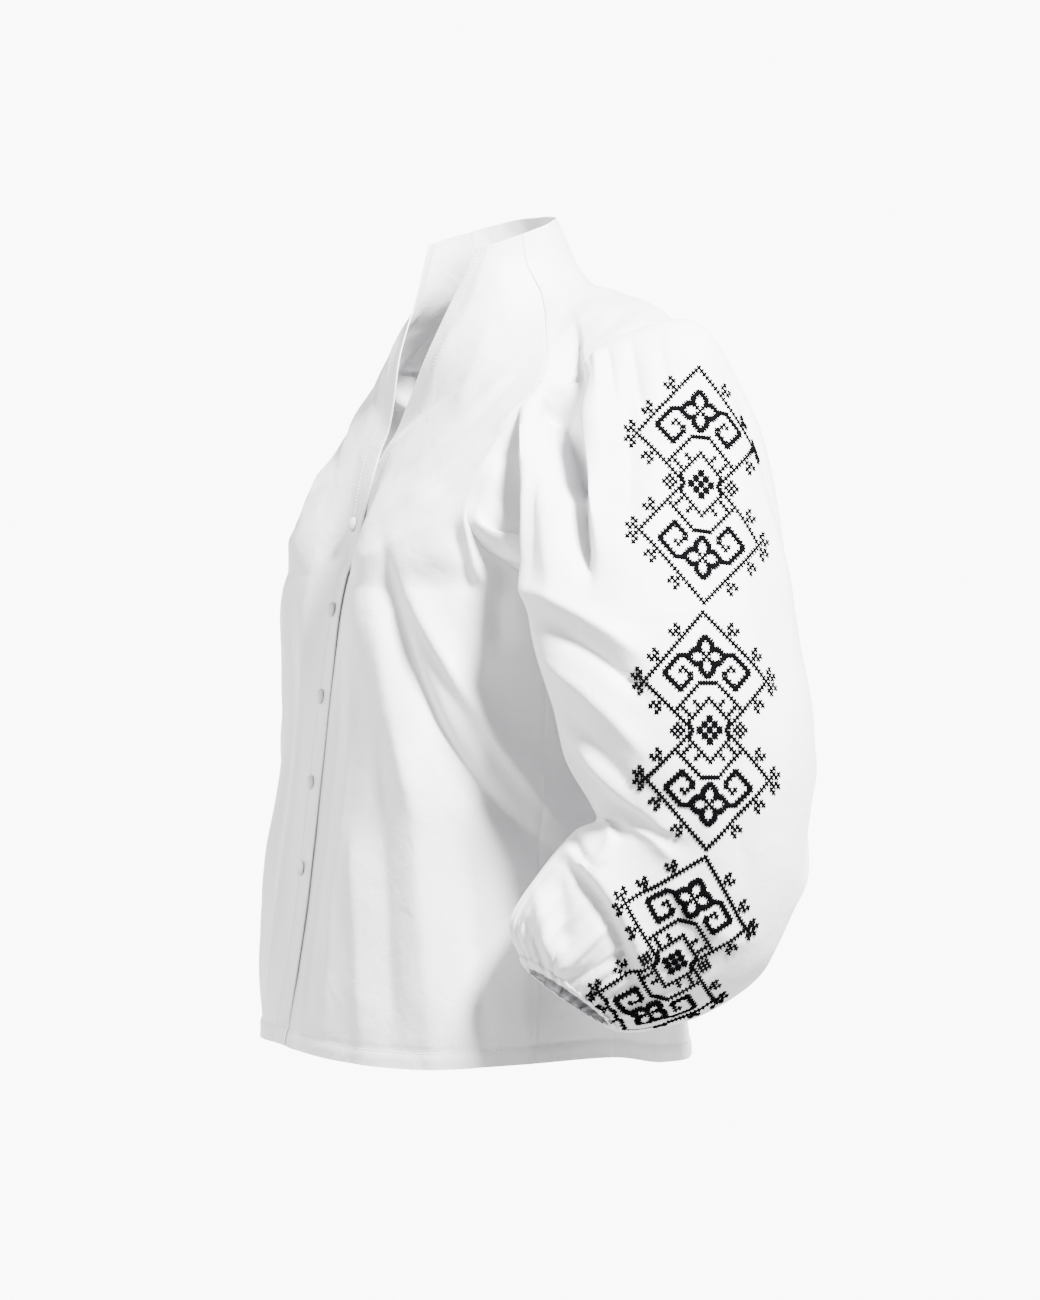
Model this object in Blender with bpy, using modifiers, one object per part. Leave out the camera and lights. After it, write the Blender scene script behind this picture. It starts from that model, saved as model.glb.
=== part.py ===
"""White cotton tunic blouse, hollow as worn: funnel collar, five buttons and full sleeves.

Sizes are in millimetres in the tables and become metres when a mesh is made. X points to the
wearer's left, Y to the back and Z up. The origin is the middle of the neck, level with the
nape, where the wearer carries the blouse.
"""
import math
from collections import namedtuple

import bpy
from mathutils import Vector

MM = 0.001

# Cloth and seams
WALL = 1.2
SEAM_GAP = 0.3
# Cosine of the sharpest corner that a seam's gap follows in full
SHARPEST_TURN = -0.3
# How far each front reaches past the centre, and how the left one steps back behind it
LAP_REACH = 20.0
LAP_STEP, LAP_EASE, LAP_SAMPLE = 2.8, 18.0, 2
LAP_TOP, LAP_FADE = -95.0, 45.0
SHARP_EDGE = math.radians(60)

# Grid of each cut piece, in quads
FRONT_COLUMNS = 14
SIDE_COLUMNS = 4
BACK_HALF_COLUMNS = 6
SKIRT_ROWS = 9
ARMHOLE_ROWS = 7
NECK_ROWS = 7
BACK_ARMHOLE_ROWS = 8

# Heights
UNDERARM_Z = -235.0
HEM_Z = -606.0

# Level of the body: half width, front, widest place and back, with how square each half is
Level = namedtuple("Level", "z half_width front_y widest_y back_y front_power back_power")
BODY_LEVELS = (
    Level(-606, 200, -203, -39, 136, 2.0, 2.0),
    Level(-530, 193, -189, -37, 123, 2.6, 2.1),
    Level(-440, 184, -177, -35, 111, 3.1, 2.2),
    Level(-340, 176, -164, -32, 102, 3.2, 2.3),
    Level(-260, 172, -153, -30, 98, 2.9, 2.4),
    Level(-200, 169, -138, -28, 97, 2.6, 2.5),
    Level(-150, 164, -122, -22, 98, 2.4, 2.5),
)
# Drop of the hem below HEM_Z, by angle from the centre front
HEM_DROPS = ((0, -4), (50, 2), (84, -4), (107, -5), (125, 4), (180, 14))

BUST_X, BUST_Z = 92.0, -235.0
BUST_RISE, BUST_HALF_WIDTH = 22.0, 52.0
BUST_REACH_UP, BUST_REACH_DOWN = 60.0, 75.0

# Seams of the side panel, as angles from the centre front at the hem and at the underarm
FRONT_SEAM_ANGLES = (84.0, 88.0)
SIDE_SEAM_ANGLES = (107.0, 113.0)

# Where the control points of the nets above the underarm lie, as shares across the piece
FRONT_SHARES = (0.0, 0.143, 0.333, 0.667, 1.0)
BACK_SHARES = (0.0, 0.333, 0.667, 1.0)
# A row of the skirt that leads into those nets: its share of the skirt, and its knot
SKIRT_SHARE, SKIRT_KNOT = 0.8, -0.7

# Rows of the front above the underarm: its share of the way up, then four points across
FrontRow = namedtuple("FrontRow", "knot edge inner outer seam")
FRONT_ARMHOLE = (
    FrontRow(0.30, (-20, -142, -214), (78, -161, -208), (147, -126, -207), (169, -82, -207)),
    FrontRow(0.52, (-20, -136, -190), (74, -148, -181), (139, -124, -177), (166, -98, -175)),
    FrontRow(0.76, (-4, -120, -150), (62, -123, -142), (125, -106, -133), (166, -82, -128)),
    FrontRow(1.00, (12, -101, -110), (64, -97, -101), (122, -77, -90), (165, -40, -76)),
)
FRONT_NECK = (
    FrontRow(0.39, (31, -86, -59), (62, -82, -54), (98, -58, -46), (118, -18, -35)),
    FrontRow(0.70, (43, -69, -15), (63, -57, -13), (77, -33, -10), (76, -6, -8)),
    FrontRow(0.87, (52, -60, 8), (63, -50, 10), (67, -33, 13), (62, -13, 16)),
    FrontRow(1.00, (58, -53, 28), (64, -44, 30), (65, -31, 34), (60, -16, 38)),
)

# Rows of the back above the underarm, from its armhole to the centre
BackRow = namedtuple("BackRow", "knot armhole outer inner centre")
BACK_ARMHOLE = (
    BackRow(0.28, (164, 54, -202), (130, 86, -200), (64, 97, -198), (0, 98, -198)),
    BackRow(0.60, (167, 76, -150), (128, 94, -150), (62, 100, -152), (0, 100, -154)),
    BackRow(1.00, (178, 90, -85), (125, 97, -90), (62, 98, -97), (0, 97, -100)),
)

# Ribs of the yoke from the front seam to the centre back: place along its outer edge in
# quads, then five points from that edge up to the top of the collar
Rib = namedtuple("Rib", "place edge shoulder slope stand top")
YOKE_RIBS = (
    Rib(0, (165, -40, -76), (118, -18, -35), (76, -6, -8), (62, -13, 16), (60, -16, 38)),
    Rib(4, (175, -8, -75), (127, 2, -31), (83, 5, -8), (63, 1, 13), (57, -4, 42)),
    Rib(6, (182, -8, -58), (131, 8, -27), (84, 10, -7), (62, 6, 12), (55, 0, 43)),
    Rib(10, (190, 24, -38), (138, 28, -19), (84, 24, -7), (57, 17, 9), (49, 10, 46)),
    Rib(14, (190, 68, -34), (134, 66, -16), (75, 54, -5), (44, 36, 6), (36, 20, 49)),
    Rib(17, (178, 90, -85), (125, 87, -46), (62, 72, -16), (28, 48, 4), (22, 27, 50)),
    Rib(20, (92, 98, -96), (65, 92, -58), (34, 79, -22), (14, 54, 3), (11, 30, 51)),
    Rib(23, (0, 97, -100), (0, 92, -60), (0, 80, -24), (0, 57, 2), (0, 31, 51)),
)
YOKE_FRONT_QUADS = 4
YOKE_SHOULDER_QUADS = 13
YOKE_HALF_QUADS = 23

# Sections of the sleeve from the underarm to the wrist
Section = namedtuple("Section", "front_y front_z back_y back_z middle_x half_x")
SLEEVE_SECTIONS = (
    Section(-78, -246, 136, -249, 250, 70),
    Section(-74, -278, 138, -283, 258, 74),
    Section(-62, -321, 143, -322, 266, 77),
    Section(-52, -364, 143, -371, 271, 78),
    Section(-33, -395, 138, -416, 272, 76),
    Section(-28, -408, 131, -466, 271, 72),
    Section(-44, -415, 105, -528, 266, 66),
    Section(-66, -442, 59, -561, 258, 58),
    Section(-90, -484, 17, -572, 250, 47),
    Section(-81, -513, -8, -572, 246, 38),
    Section(-77, -522, -14, -569, 245, 36),
)
SLEEVE_START_ANGLE = -65.0
HEAD_RINGS = (0.1, 0.25, 0.43, 0.62, 0.81)
ARM_STATIONS = (0.0, 0.7, 1.4, 2.2, 3.0, 3.8, 4.6, 5.4)
GATHERED_STATIONS = (6.3, 7.2, 8.1, 9.0)
CUFF_STATION = 10.0
GATHERS = 18
GATHER_RISE, GATHER_FADE = 1.8, 2.5

# How far each sleeve head swells out of the armhole, by angle from its front
HEAD_SWELLS = ((-65, 5), (0, 15), (45, 45), (95, 42), (150, 160), (200, 85), (270, 5), (295, 5))
RIGHT_HEAD_SWELLS = ((-65, 5), (0, 55), (45, 85), (95, 42), (150, 160), (200, 85), (270, 5), (295, 5))
HEAD_REACH = 85.0
# The station that the head's cloth falls towards, and how firmly
HEAD_AIM_STATION, HEAD_AIM = 0.5, 2.2

# Folds are set out on the quarter elevation, where the blouse is seen from 70 degrees round
# to the wearer's left: its distance across and its height. A positive rise is a ridge.
ELEVATION_TURN = math.radians(70)
FACING_GAIN = 2.5
# How far a fold runs on past each end, and the length over which it fades, as shares of it
FOLD_PAST, FOLD_FADE = 0.25, 0.4
Fold =namedtuple("Fold", "across_1 z_1 across_2 z_2 half_width rise")
BODY_FOLDS = (
    Fold(-88, -225, -42, -285, 13, 4),
    Fold(-42, -285, 62, -425, 16, 5),
    Fold(-108, -260, -62, -360, 14, -4),
    Fold(-62, -360, 30, -455, 18, -5),
    Fold(-100, -270, -70, -560, 20, 4),
    Fold(-8, -120, -66, -182, 12, 3),
    Fold(-35, -185, -5, -300, 13, -3),
)
SLEEVE_FOLDS = (
    Fold(34, -82, 44, -225, 16, -11),
    Fold(57, -90, 64, -235, 9, 7),
    Fold(14, -240, 60, -330, 12, 5),
    Fold(36, -355, 108, -392, 14, -5),
    Fold(60, -385, 130, -440, 13, 5),
    Fold(48, -445, 104, -535, 9, 5),
    Fold(40, -460, 62, -548, 9, -4),
)

# Buttons: under a dome of cloth, on the centre front
BUTTON_HEIGHTS = (-192, -259, -328, -396, -464)
BUTTON_RADIUS = 6.0
BUTTON_THICK = 4.2
BUTTON_STEPS = 14
BUTTON_GAP = 0.3
BUTTON_RIM_SHARE, BUTTON_BACK_SHARE, BUTTON_DOME_STEPS = 0.35, 0.8, 4
MERGE_DISTANCE = 0.00005

COTTON = ("white_cotton", (0.86, 0.86, 0.87), 0.55)
BUTTON_CLOTH = ("covered_button", (0.80, 0.80, 0.81), 0.5)


def slopes(knots, values):
    """Slope of a smooth curve at each knot, from its neighbours."""
    found = []
    last = len(knots) - 1
    for index in range(len(knots)):
        before = max(index - 1, 0)
        after = min(index + 1, last)
        found.append((values[after] - values[before]) / (knots[after] - knots[before]))
    return found


def hermite(start, end, leave, arrive, t):
    """Value a share t along the cubic curve with the slopes leave and arrive at its ends."""
    return (start * (2 * t ** 3 - 3 * t ** 2 + 1) + end * (3 * t ** 2 - 2 * t ** 3)
            + leave * (t ** 3 - 2 * t ** 2 + t) + arrive * (t ** 3 - t ** 2))


def smooth(knots, values, place):
    """Value of the smooth curve through the knots, for numbers or vectors."""
    place = min(max(place, knots[0]), knots[-1])
    index = 0
    while index < len(knots) - 2 and place > knots[index + 1]:
        index += 1
    width = knots[index + 1] - knots[index]
    slope = slopes(knots, values)
    return hermite(values[index], values[index + 1], slope[index] * width,
                   slope[index + 1] * width, (place - knots[index]) / width)


def ease(value):
    """Smooth step from 0 to 1."""
    value = min(max(value, 0.0), 1.0)
    return value * value * (3 - 2 * value)


def lerp(start, end, share):
    """Value a share of the way from start to end."""
    return start + (end - start) * share


# Body

def level_at(z):
    """Sizes of the body at a height."""
    rows = BODY_LEVELS
    knots = [row.z for row in rows]
    return Level(z, *(smooth(knots, column, z) for column in list(zip(*rows))[1:]))


def bust_rise(x, z):
    """How far the bust stands out of the plain section."""
    reach = BUST_REACH_UP if z > BUST_Z else BUST_REACH_DOWN
    across = (abs(x) - BUST_X) / BUST_HALF_WIDTH
    return BUST_RISE * math.exp(-across ** 2 - ((z - BUST_Z) / reach) ** 2)


def body_point(angle, z):
    """Point of the body's left half, the angle in degrees from the centre front."""
    level = level_at(z)
    side, front = math.sin(math.radians(angle)), math.cos(math.radians(angle))
    power = level.front_power if front > 0 else level.back_power
    radius = (abs(side) ** power + abs(front) ** power) ** (-1 / power)
    reach = level.front_y if front > 0 else level.back_y
    x = level.half_width * side * radius
    y = level.widest_y + (reach - level.widest_y) * abs(front) * radius
    if front > 0:
        y -= bust_rise(x, z)
    return Vector((x, y, z))


def hem_height(angle):
    """Height of the hem at an angle."""
    angles = [row[0] for row in HEM_DROPS]
    return HEM_Z - smooth(angles, [row[1] for row in HEM_DROPS], min(max(angle, 0), 180))


def skirt_row(share, start_angles, end_angles, across):
    """Row of points round the body, a share of the way from the hem to the underarm."""
    start = lerp(*start_angles, share)
    end = lerp(*end_angles, share)
    row = []
    for place in across:
        angle = lerp(start, end, place)
        row.append(body_point(angle, lerp(hem_height(angle), UNDERARM_Z, share)))
    return row


def even(count):
    """Even shares from 0 to 1."""
    return [k / count for k in range(count + 1)]


def edge_angles():
    """Angles of the front's edge, past the centre, at the hem and at the underarm."""
    return tuple(-math.degrees(LAP_REACH / level_at(z).half_width) for z in (HEM_Z, UNDERARM_Z))


def net_row(knots, rows, place, across, columns):
    """Row of points over a net of control rows, whose points lie at shares across it."""
    controls = [smooth(knots, [row[k] for row in rows], place) for k in range(len(across))]
    return [smooth(across, controls, k / columns) for k in range(columns + 1)]


def vectors(row):
    """Control points of a table row, after its knot."""
    return [Vector(point) for point in row[1:]]


def front_controls(row):
    """Control points across the front, even on both sides of the centre where it laps."""
    edge, inner, outer, seam = vectors(row)
    beside = lerp(edge, inner, FRONT_SHARES[1] / FRONT_SHARES[2])
    if edge.x <= -LAP_REACH:
        beside = Vector((-edge.x, edge.y, edge.z))
    return [edge, beside, inner, outer, seam]


def front_grid():
    """Rows of the left front from the hem to the top of the collar."""
    angles = edge_angles()
    grid = [skirt_row(share, angles, FRONT_SEAM_ANGLES, even(FRONT_COLUMNS))
            for share in even(SKIRT_ROWS)]
    knots = [SKIRT_KNOT, 0.0] + [row.knot for row in FRONT_ARMHOLE]
    knots += [1 + row.knot for row in FRONT_NECK]
    rows = [skirt_row(share, angles, FRONT_SEAM_ANGLES, FRONT_SHARES)
            for share in (SKIRT_SHARE, 1.0)]
    rows += [front_controls(row) for row in FRONT_ARMHOLE + FRONT_NECK]
    places = [k / ARMHOLE_ROWS for k in range(1, ARMHOLE_ROWS + 1)]
    places += [1 + k / NECK_ROWS for k in range(1, NECK_ROWS + 1)]
    for place in places:
        grid.append(net_row(knots, rows, place, FRONT_SHARES, FRONT_COLUMNS))
    return grid


def side_grid():
    """Rows of the left side panel from the hem to the underarm."""
    return [skirt_row(share, FRONT_SEAM_ANGLES, SIDE_SEAM_ANGLES, even(SIDE_COLUMNS))
            for share in even(SKIRT_ROWS)]


def back_half_grid():
    """Rows of the back's left half, from the side seam to the centre."""
    centre = (180.0, 180.0)
    grid = [skirt_row(share, SIDE_SEAM_ANGLES, centre, even(BACK_HALF_COLUMNS))
            for share in even(SKIRT_ROWS)]
    knots = [SKIRT_KNOT, 0.0] + [row.knot for row in BACK_ARMHOLE]
    rows = [skirt_row(share, SIDE_SEAM_ANGLES, centre, BACK_SHARES)
            for share in (SKIRT_SHARE, 1.0)]
    rows += [vectors(row) for row in BACK_ARMHOLE]
    for k in range(1, BACK_ARMHOLE_ROWS + 1):
        place = k / BACK_ARMHOLE_ROWS
        grid.append(net_row(knots, rows, place, BACK_SHARES, BACK_HALF_COLUMNS))
    return grid


def yoke_half_ribs():
    """Ribs of the yoke's left half, each from its outer edge to the top of the collar."""
    places = [rib.place for rib in YOKE_RIBS]
    knots = [0.0] + [row.knot for row in FRONT_NECK]
    ribs = []
    for place in range(YOKE_HALF_QUADS + 1):
        controls = [smooth(places, [Vector(rib[k]) for rib in YOKE_RIBS], place)
                    for k in range(1, len(Rib._fields))]
        ribs.append([smooth(knots, controls, k / NECK_ROWS) for k in range(NECK_ROWS + 1)])
    return ribs


# Folds

def fold_share(fold, across, z):
    """How much of a fold's rise reaches a place on the elevation."""
    run = Vector((fold.across_2 - fold.across_1, fold.z_2 - fold.z_1))
    offset = Vector((across - fold.across_1, z - fold.z_1))
    along = offset.dot(run) / run.length_squared
    off = (offset - run * along).length / fold.half_width
    ends = ease((along + FOLD_PAST) / FOLD_FADE) * ease((1 + FOLD_PAST - along) / FOLD_FADE)
    return math.exp(-off ** 2) * ends


def fold_rise(folds, point, normal):
    """Rise of the cloth at a point, from the folds on the side of the body it faces."""
    side = 1 if point.x > 0 else -1
    view = Vector((math.sin(ELEVATION_TURN) * side, -math.cos(ELEVATION_TURN), 0))
    facing = ease(normal.dot(view) * FACING_GAIN)
    across = math.cos(ELEVATION_TURN) * abs(point.x) + math.sin(ELEVATION_TURN) * point.y
    return facing * sum(fold.rise * fold_share(fold, across, point.z) for fold in folds)


# Pieces of cloth

class Piece:
    """Open outer surface of a cut piece, with its points in millimetres."""

    def __init__(self, name, rows, closed=False):
        """Joins rows of points into faces that look outwards."""
        self.name = name
        self.points = []
        self.faces = []
        starts = []
        for row in rows:
            starts.append(len(self.points))
            self.points.extend(point.copy() for point in row)
        for k in range(len(rows) - 1):
            self.join(starts[k], len(rows[k]), starts[k + 1], len(rows[k + 1]), closed)
        self.rows = [(starts[k], len(rows[k])) for k in range(len(rows))]

    def join(self, low, low_count, high, high_count, closed):
        """Faces between two rows, the second with as many points or twice as many."""
        steps = low_count if closed else low_count - 1
        for k in range(steps):
            a, b = low + k, low + (k + 1) % low_count
            if low_count == high_count:
                self.faces.append((a, b, high + (k + 1) % high_count, high + k))
            else:
                c, d, e = (high + (2 * k + step) % high_count for step in range(3))
                self.faces.extend(((a, d, c), (a, b, d), (b, e, d)))

    def mirrored(self, name):
        """The same piece on the other side of the body."""
        other = Piece(name, [])
        other.points = [Vector((-p.x, p.y, p.z)) for p in self.points]
        other.faces = [tuple(reversed(face)) for face in self.faces]
        return other

    def flip(self):
        """Turns the faces to look the other way."""
        self.faces = [tuple(reversed(face)) for face in self.faces]
        return self

    def normals(self):
        """Sum of the face normals round each point."""
        found = [Vector() for _ in self.points]
        for face in self.faces:
            corners = [self.points[k] for k in face]
            normal = (corners[2] - corners[0]).cross(corners[-1] - corners[1])
            for k in face:
                found[k] += normal
        return found

    def border(self):
        """Directed edges that belong to one face only."""
        edges = set()
        for face in self.faces:
            for a, b in zip(face, face[1:] + face[:1]):
                if (b, a) in edges:
                    edges.remove((b, a))
                else:
                    edges.add((a, b))
        return edges


def key(point):
    """Name of a place that neighbouring pieces share."""
    return tuple(round(value, 2) for value in point)


def shared_normals(pieces):
    """Unit normal of each place, the same on both sides of a seam."""
    sums = {}
    for piece in pieces:
        for point, normal in zip(piece.points, piece.normals()):
            sums.setdefault(key(point), Vector())
            sums[key(point)] += normal.normalized()
    return {place: normal.normalized() for place, normal in sums.items()}


def shared_places(pieces):
    """Places where two or more pieces meet."""
    counts = {}
    for piece in pieces:
        for place in {key(point) for point in piece.points}:
            counts[place] = counts.get(place, 0) + 1
    return {place for place, count in counts.items() if count > 1}


def drawn_back(ways):
    """Move that draws a point back from the seam edges that end at it, given their ways in."""
    if len(ways) == 1:
        return ways[0] * (SEAM_GAP / 2)
    turn = max(ways[0].dot(ways[-1]), SHARPEST_TURN)
    return sum(ways, Vector()) * (SEAM_GAP / 2 / (1 + turn))


def wall(piece, normals, seams):
    """Points and faces of the closed wall of a piece, drawn back from its seams."""
    border = piece.border()
    inward = {}
    for a, b in border:
        if key(piece.points[a]) in seams and key(piece.points[b]) in seams:
            edge = piece.points[b] - piece.points[a]
            for k in (a, b):
                across = normals[key(piece.points[k])].cross(edge).normalized()
                inward.setdefault(k, []).append(across)
    outer = []
    inner = []
    for k, point in enumerate(piece.points):
        moved = point.copy()
        if k in inward:
            moved += drawn_back(inward[k])
        outer.append(moved)
        inner.append(moved - normals[key(point)] * WALL)
    count = len(outer)
    faces = list(piece.faces)
    faces += [tuple(k + count for k in reversed(face)) for face in piece.faces]
    for a, b in sorted(border):
        if key(piece.points[a]) < key(piece.points[b]):
            faces += [(b, a, b + count), (a, a + count, b + count)]
        else:
            faces += [(b, a, a + count), (b, a + count, b + count)]
    return outer + inner, faces


# Sleeves

def section_point(station, angle):
    """Point of the sleeve: the angle in degrees runs from its front over its outer side."""
    knots = list(range(len(SLEEVE_SECTIONS)))
    section = Section(*(smooth(knots, column, station) for column in zip(*SLEEVE_SECTIONS)))
    front = Vector((section.middle_x, section.front_y, section.front_z))
    back = Vector((section.middle_x, section.back_y, section.back_z))
    turn = math.radians(angle)
    return ((front + back) / 2 - (back - front) / 2 * math.cos(turn)
            + Vector((section.half_x * math.sin(turn), 0, 0)))


def head_swell(swells, angle):
    """How far the head swells at an angle."""
    return smooth([row[0] for row in swells], [row[1] for row in swells], angle)


def sleeve_rings(armhole, swells):
    """Rings of a sleeve on the left side, from the armhole to the wrist."""
    count = len(armhole)
    centre = sum(armhole, Vector()) / count
    angles = [SLEEVE_START_ANGLE + 360 * k / count for k in range(count)]
    rings = [armhole]
    for share in HEAD_RINGS:
        ring = []
        for start, angle in zip(armhole, angles):
            end = section_point(0, angle)
            arrive = (section_point(HEAD_AIM_STATION, angle) - end) * HEAD_AIM
            out = start - centre
            out.x = 0
            leave = out.normalized() * head_swell(swells, angle) + Vector((HEAD_REACH, 0, 0))
            ring.append(hermite(start, end, leave, arrive, share))
        rings.append(ring)
    for station in ARM_STATIONS:
        rings.append([section_point(station, angle) for angle in angles])
    for station in GATHERED_STATIONS:
        rings.append(gathered_ring(station, count * 2))
    return rings


def gathered_ring(station, count):
    """Ring of the sleeve's end, with the gathers that the cuff draws in."""
    depth = GATHER_RISE * ease((station - GATHERED_STATIONS[0]) / GATHER_FADE)
    ring = []
    for k in range(count):
        angle = SLEEVE_START_ANGLE + 360 * k / count
        point = section_point(station, angle)
        middle = (section_point(station, 0) + section_point(station, 180)) / 2
        wave = math.cos(2 * math.pi * GATHERS * k / count)
        ring.append(point + (point - middle).normalized() * depth * wave)
    return ring


# The whole blouse

def folded(piece, folds, fade=None):
    """Raises the cloth of a piece into its folds."""
    normals = piece.normals()
    for k, point in enumerate(piece.points):
        normal = normals[k].normalized()
        share = fade(k) if fade else 1.0
        piece.points[k] = point + normal * fold_rise(folds, point, normal) * share
    return piece


def body_folded(grids):
    """Raises the folds of the body in grids that share their seams."""
    pieces = [Piece("grid", grid) for grid in grids]
    normals = shared_normals(pieces)
    for grid in grids:
        for row in grid:
            for k, point in enumerate(row):
                normal = normals[key(point)]
                row[k] = point + normal * fold_rise(BODY_FOLDS, point, normal)
    return grids


def lap_shift(rows, z):
    """How far back the left front lies at a height, to stay behind the right front."""
    gaps = [0.0]
    for x in range(-int(LAP_REACH), int(LAP_REACH) + 1, LAP_SAMPLE):
        under, over = cloth_y(rows, x, z), cloth_y(rows, -x, z)
        if under is not None and over is not None:
            gaps.append(over - under)
    return LAP_STEP + max(gaps)


def lapped(rows, point):
    """A point of the left front, set back where the right front lies over it."""
    share = ease((LAP_REACH + LAP_EASE - point.x) / LAP_EASE)
    share *= ease((LAP_TOP - point.z) / LAP_FADE)
    return point + Vector((0, share * lap_shift(rows, point.z) if share else 0.0, 0))


def sleeve_pieces(armhole, swells):
    """Sleeve and cuff on the left side."""
    sleeve = Piece("sleeve_left", sleeve_rings(armhole, swells), closed=True)
    fixed = len(armhole)
    folded(sleeve, SLEEVE_FOLDS, fade=lambda k: 0.0 if k < fixed else 1.0)
    sleeve.flip()
    start, count = sleeve.rows[-1]
    wrist = sleeve.points[start:start + count]
    cuff = Piece("cuff_left", [wrist, gathered_ring(CUFF_STATION, count)], closed=True).flip()
    return sleeve, cuff


def cloth_pieces():
    """All cut pieces of the blouse, as open surfaces."""
    front, side, back = body_folded([front_grid(), side_grid(), back_half_grid()])
    ribs = yoke_half_ribs()
    for k in range(NECK_ROWS + 1):
        ribs[0][k] = front[SKIRT_ROWS + ARMHOLE_ROWS + k][-1]
    for k in range(BACK_HALF_COLUMNS + 1):
        ribs[YOKE_FRONT_QUADS + YOKE_SHOULDER_QUADS + k][0] = back[-1][k]

    armhole = [row[-1] for row in front[SKIRT_ROWS:SKIRT_ROWS + ARMHOLE_ROWS + 1]]
    armhole += [rib[0] for rib in ribs[1:YOKE_FRONT_QUADS + YOKE_SHOULDER_QUADS + 1]]
    armhole += [row[0] for row in back[-2:SKIRT_ROWS - 1:-1]]
    armhole += side[-1][-2:0:-1]

    front_right = Piece("front_right", front).mirrored("front_right")
    front_left = Piece("front_left", [[lapped(front, point) for point in row] for row in front])
    side_left = Piece("side_left", side)
    whole_back = [row + [Vector((-p.x, p.y, p.z)) for p in row[-2::-1]] for row in back]
    whole_yoke = ribs + [[Vector((-p.x, p.y, p.z)) for p in rib] for rib in ribs[-2::-1]]
    yoke = Piece("yoke", whole_yoke).flip()

    sleeve, cuff = sleeve_pieces(armhole, HEAD_SWELLS)
    other_sleeve, other_cuff = sleeve_pieces(armhole, RIGHT_HEAD_SWELLS)
    pieces = [front_left, front_right, side_left, side_left.mirrored("side_right"), yoke,
              Piece("back", whole_back), sleeve, other_sleeve.mirrored("sleeve_right"),
              cuff, other_cuff.mirrored("cuff_right")]
    return pieces, front


def material(look):
    """Principled material of a look."""
    name, colour, roughness = look
    made = bpy.data.materials.get(name)
    if made is None:
        made = bpy.data.materials.new(name)
        made.use_nodes = True
        shader = made.node_tree.nodes["Principled BSDF"]
        shader.inputs["Base Color"].default_value = (*colour, 1)
        shader.inputs["Roughness"].default_value = roughness
        shader.inputs["Metallic"].default_value = 0.0
    return made


def add_object(name, points, faces, look, collection):
    """Object in metres from points in millimetres."""
    mesh = bpy.data.meshes.new(name)
    mesh.from_pydata([point * MM for point in points], [], faces)
    mesh.shade_smooth()
    mesh.set_sharp_from_angle(angle=SHARP_EDGE)
    mesh.materials.append(material(look))
    made = bpy.data.objects.new(name, mesh)
    collection.objects.link(made)
    return made


def button_profile():
    """Half outline of a covered button, from the top of its dome down its side."""
    rim = BUTTON_THICK * BUTTON_RIM_SHARE
    turns = [math.pi / 2 * share for share in even(BUTTON_DOME_STEPS)]
    dome = [(BUTTON_RADIUS * math.sin(turn), lerp(rim, BUTTON_THICK, math.cos(turn)))
            for turn in turns]
    return dome + [(BUTTON_RADIUS * BUTTON_BACK_SHARE, 0.0), (0.0, 0.0)]


def cloth_y(rows, x, z):
    """Y of the front at a place, or nothing where the neckline has left it."""
    line = []
    for row in rows:
        for start, end in zip(row, row[1:]):
            if start.x <= x < end.x:
                line.append(lerp(start, end, (x - start.x) / (end.x - start.x)))
                break
    for low, high in zip(line, line[1:]):
        if low.z <= z <= high.z:
            return lerp(low.y, high.y, (z - low.z) / (high.z - low.z))
    return None


def seat(rows, height):
    """Y of a button's back and its lean, where its whole flat back clears the cloth."""
    span = BUTTON_RADIUS
    slope = (cloth_y(rows, 0, height + span) - cloth_y(rows, 0, height - span)) / (2 * span)
    reach = (-span, 0, span)
    nearest = min(cloth_y(rows, x, height + z) - slope * z for x in reach for z in reach)
    return nearest - BUTTON_GAP, math.atan(slope)


def add_button(index, height, rows, collection):
    """Covered button, its flat back on the right front."""
    outline = button_profile()
    mesh = bpy.data.meshes.new(f"button_{index}")
    edges = [(k, k + 1) for k in range(len(outline) - 1)]
    mesh.from_pydata([(x * MM, 0, z * MM) for x, z in outline], edges, [])
    mesh.materials.append(material(BUTTON_CLOTH))
    made = bpy.data.objects.new(f"button_{index}", mesh)
    collection.objects.link(made)
    turned = made.modifiers.new("Turned", "SCREW")
    turned.steps = turned.render_steps = BUTTON_STEPS
    turned.use_merge_vertices = True
    turned.merge_threshold = MERGE_DISTANCE
    y, lean = seat(rows, height)
    made.location = Vector((0, y, height)) * MM
    made.rotation_euler = (math.pi / 2 - lean, 0, 0)
    return made


def build():
    """Makes every object of the blouse."""
    for old in list(bpy.data.objects):
        bpy.data.objects.remove(old, do_unlink=True)
    collection = bpy.data.collections.new("tunic_blouse")
    bpy.context.scene.collection.children.link(collection)
    pieces, front = cloth_pieces()
    normals = shared_normals(pieces)
    seams = shared_places(pieces)
    for piece in pieces:
        points, faces = wall(piece, normals, seams)
        add_object(piece.name, points, faces, COTTON, collection)
    for index, height in enumerate(BUTTON_HEIGHTS, start=1):
        add_button(index, height, front, collection)


build()
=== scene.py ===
"""White cotton tunic blouse, hollow as worn, with cross-stitched balloon sleeves.

The cloth is worked out in millimetres, with X to the wearer's left, Y to the back and Z up,
and becomes metres when a mesh is made. Folds are set out on elevations of the blouse.
"""
import logging
import math
from dataclasses import dataclass, field, replace
from enum import Enum
from typing import Any, NamedTuple, Sequence

import bpy
import numpy as np
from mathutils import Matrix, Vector, noise
from mathutils.bvhtree import BVHTree


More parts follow.
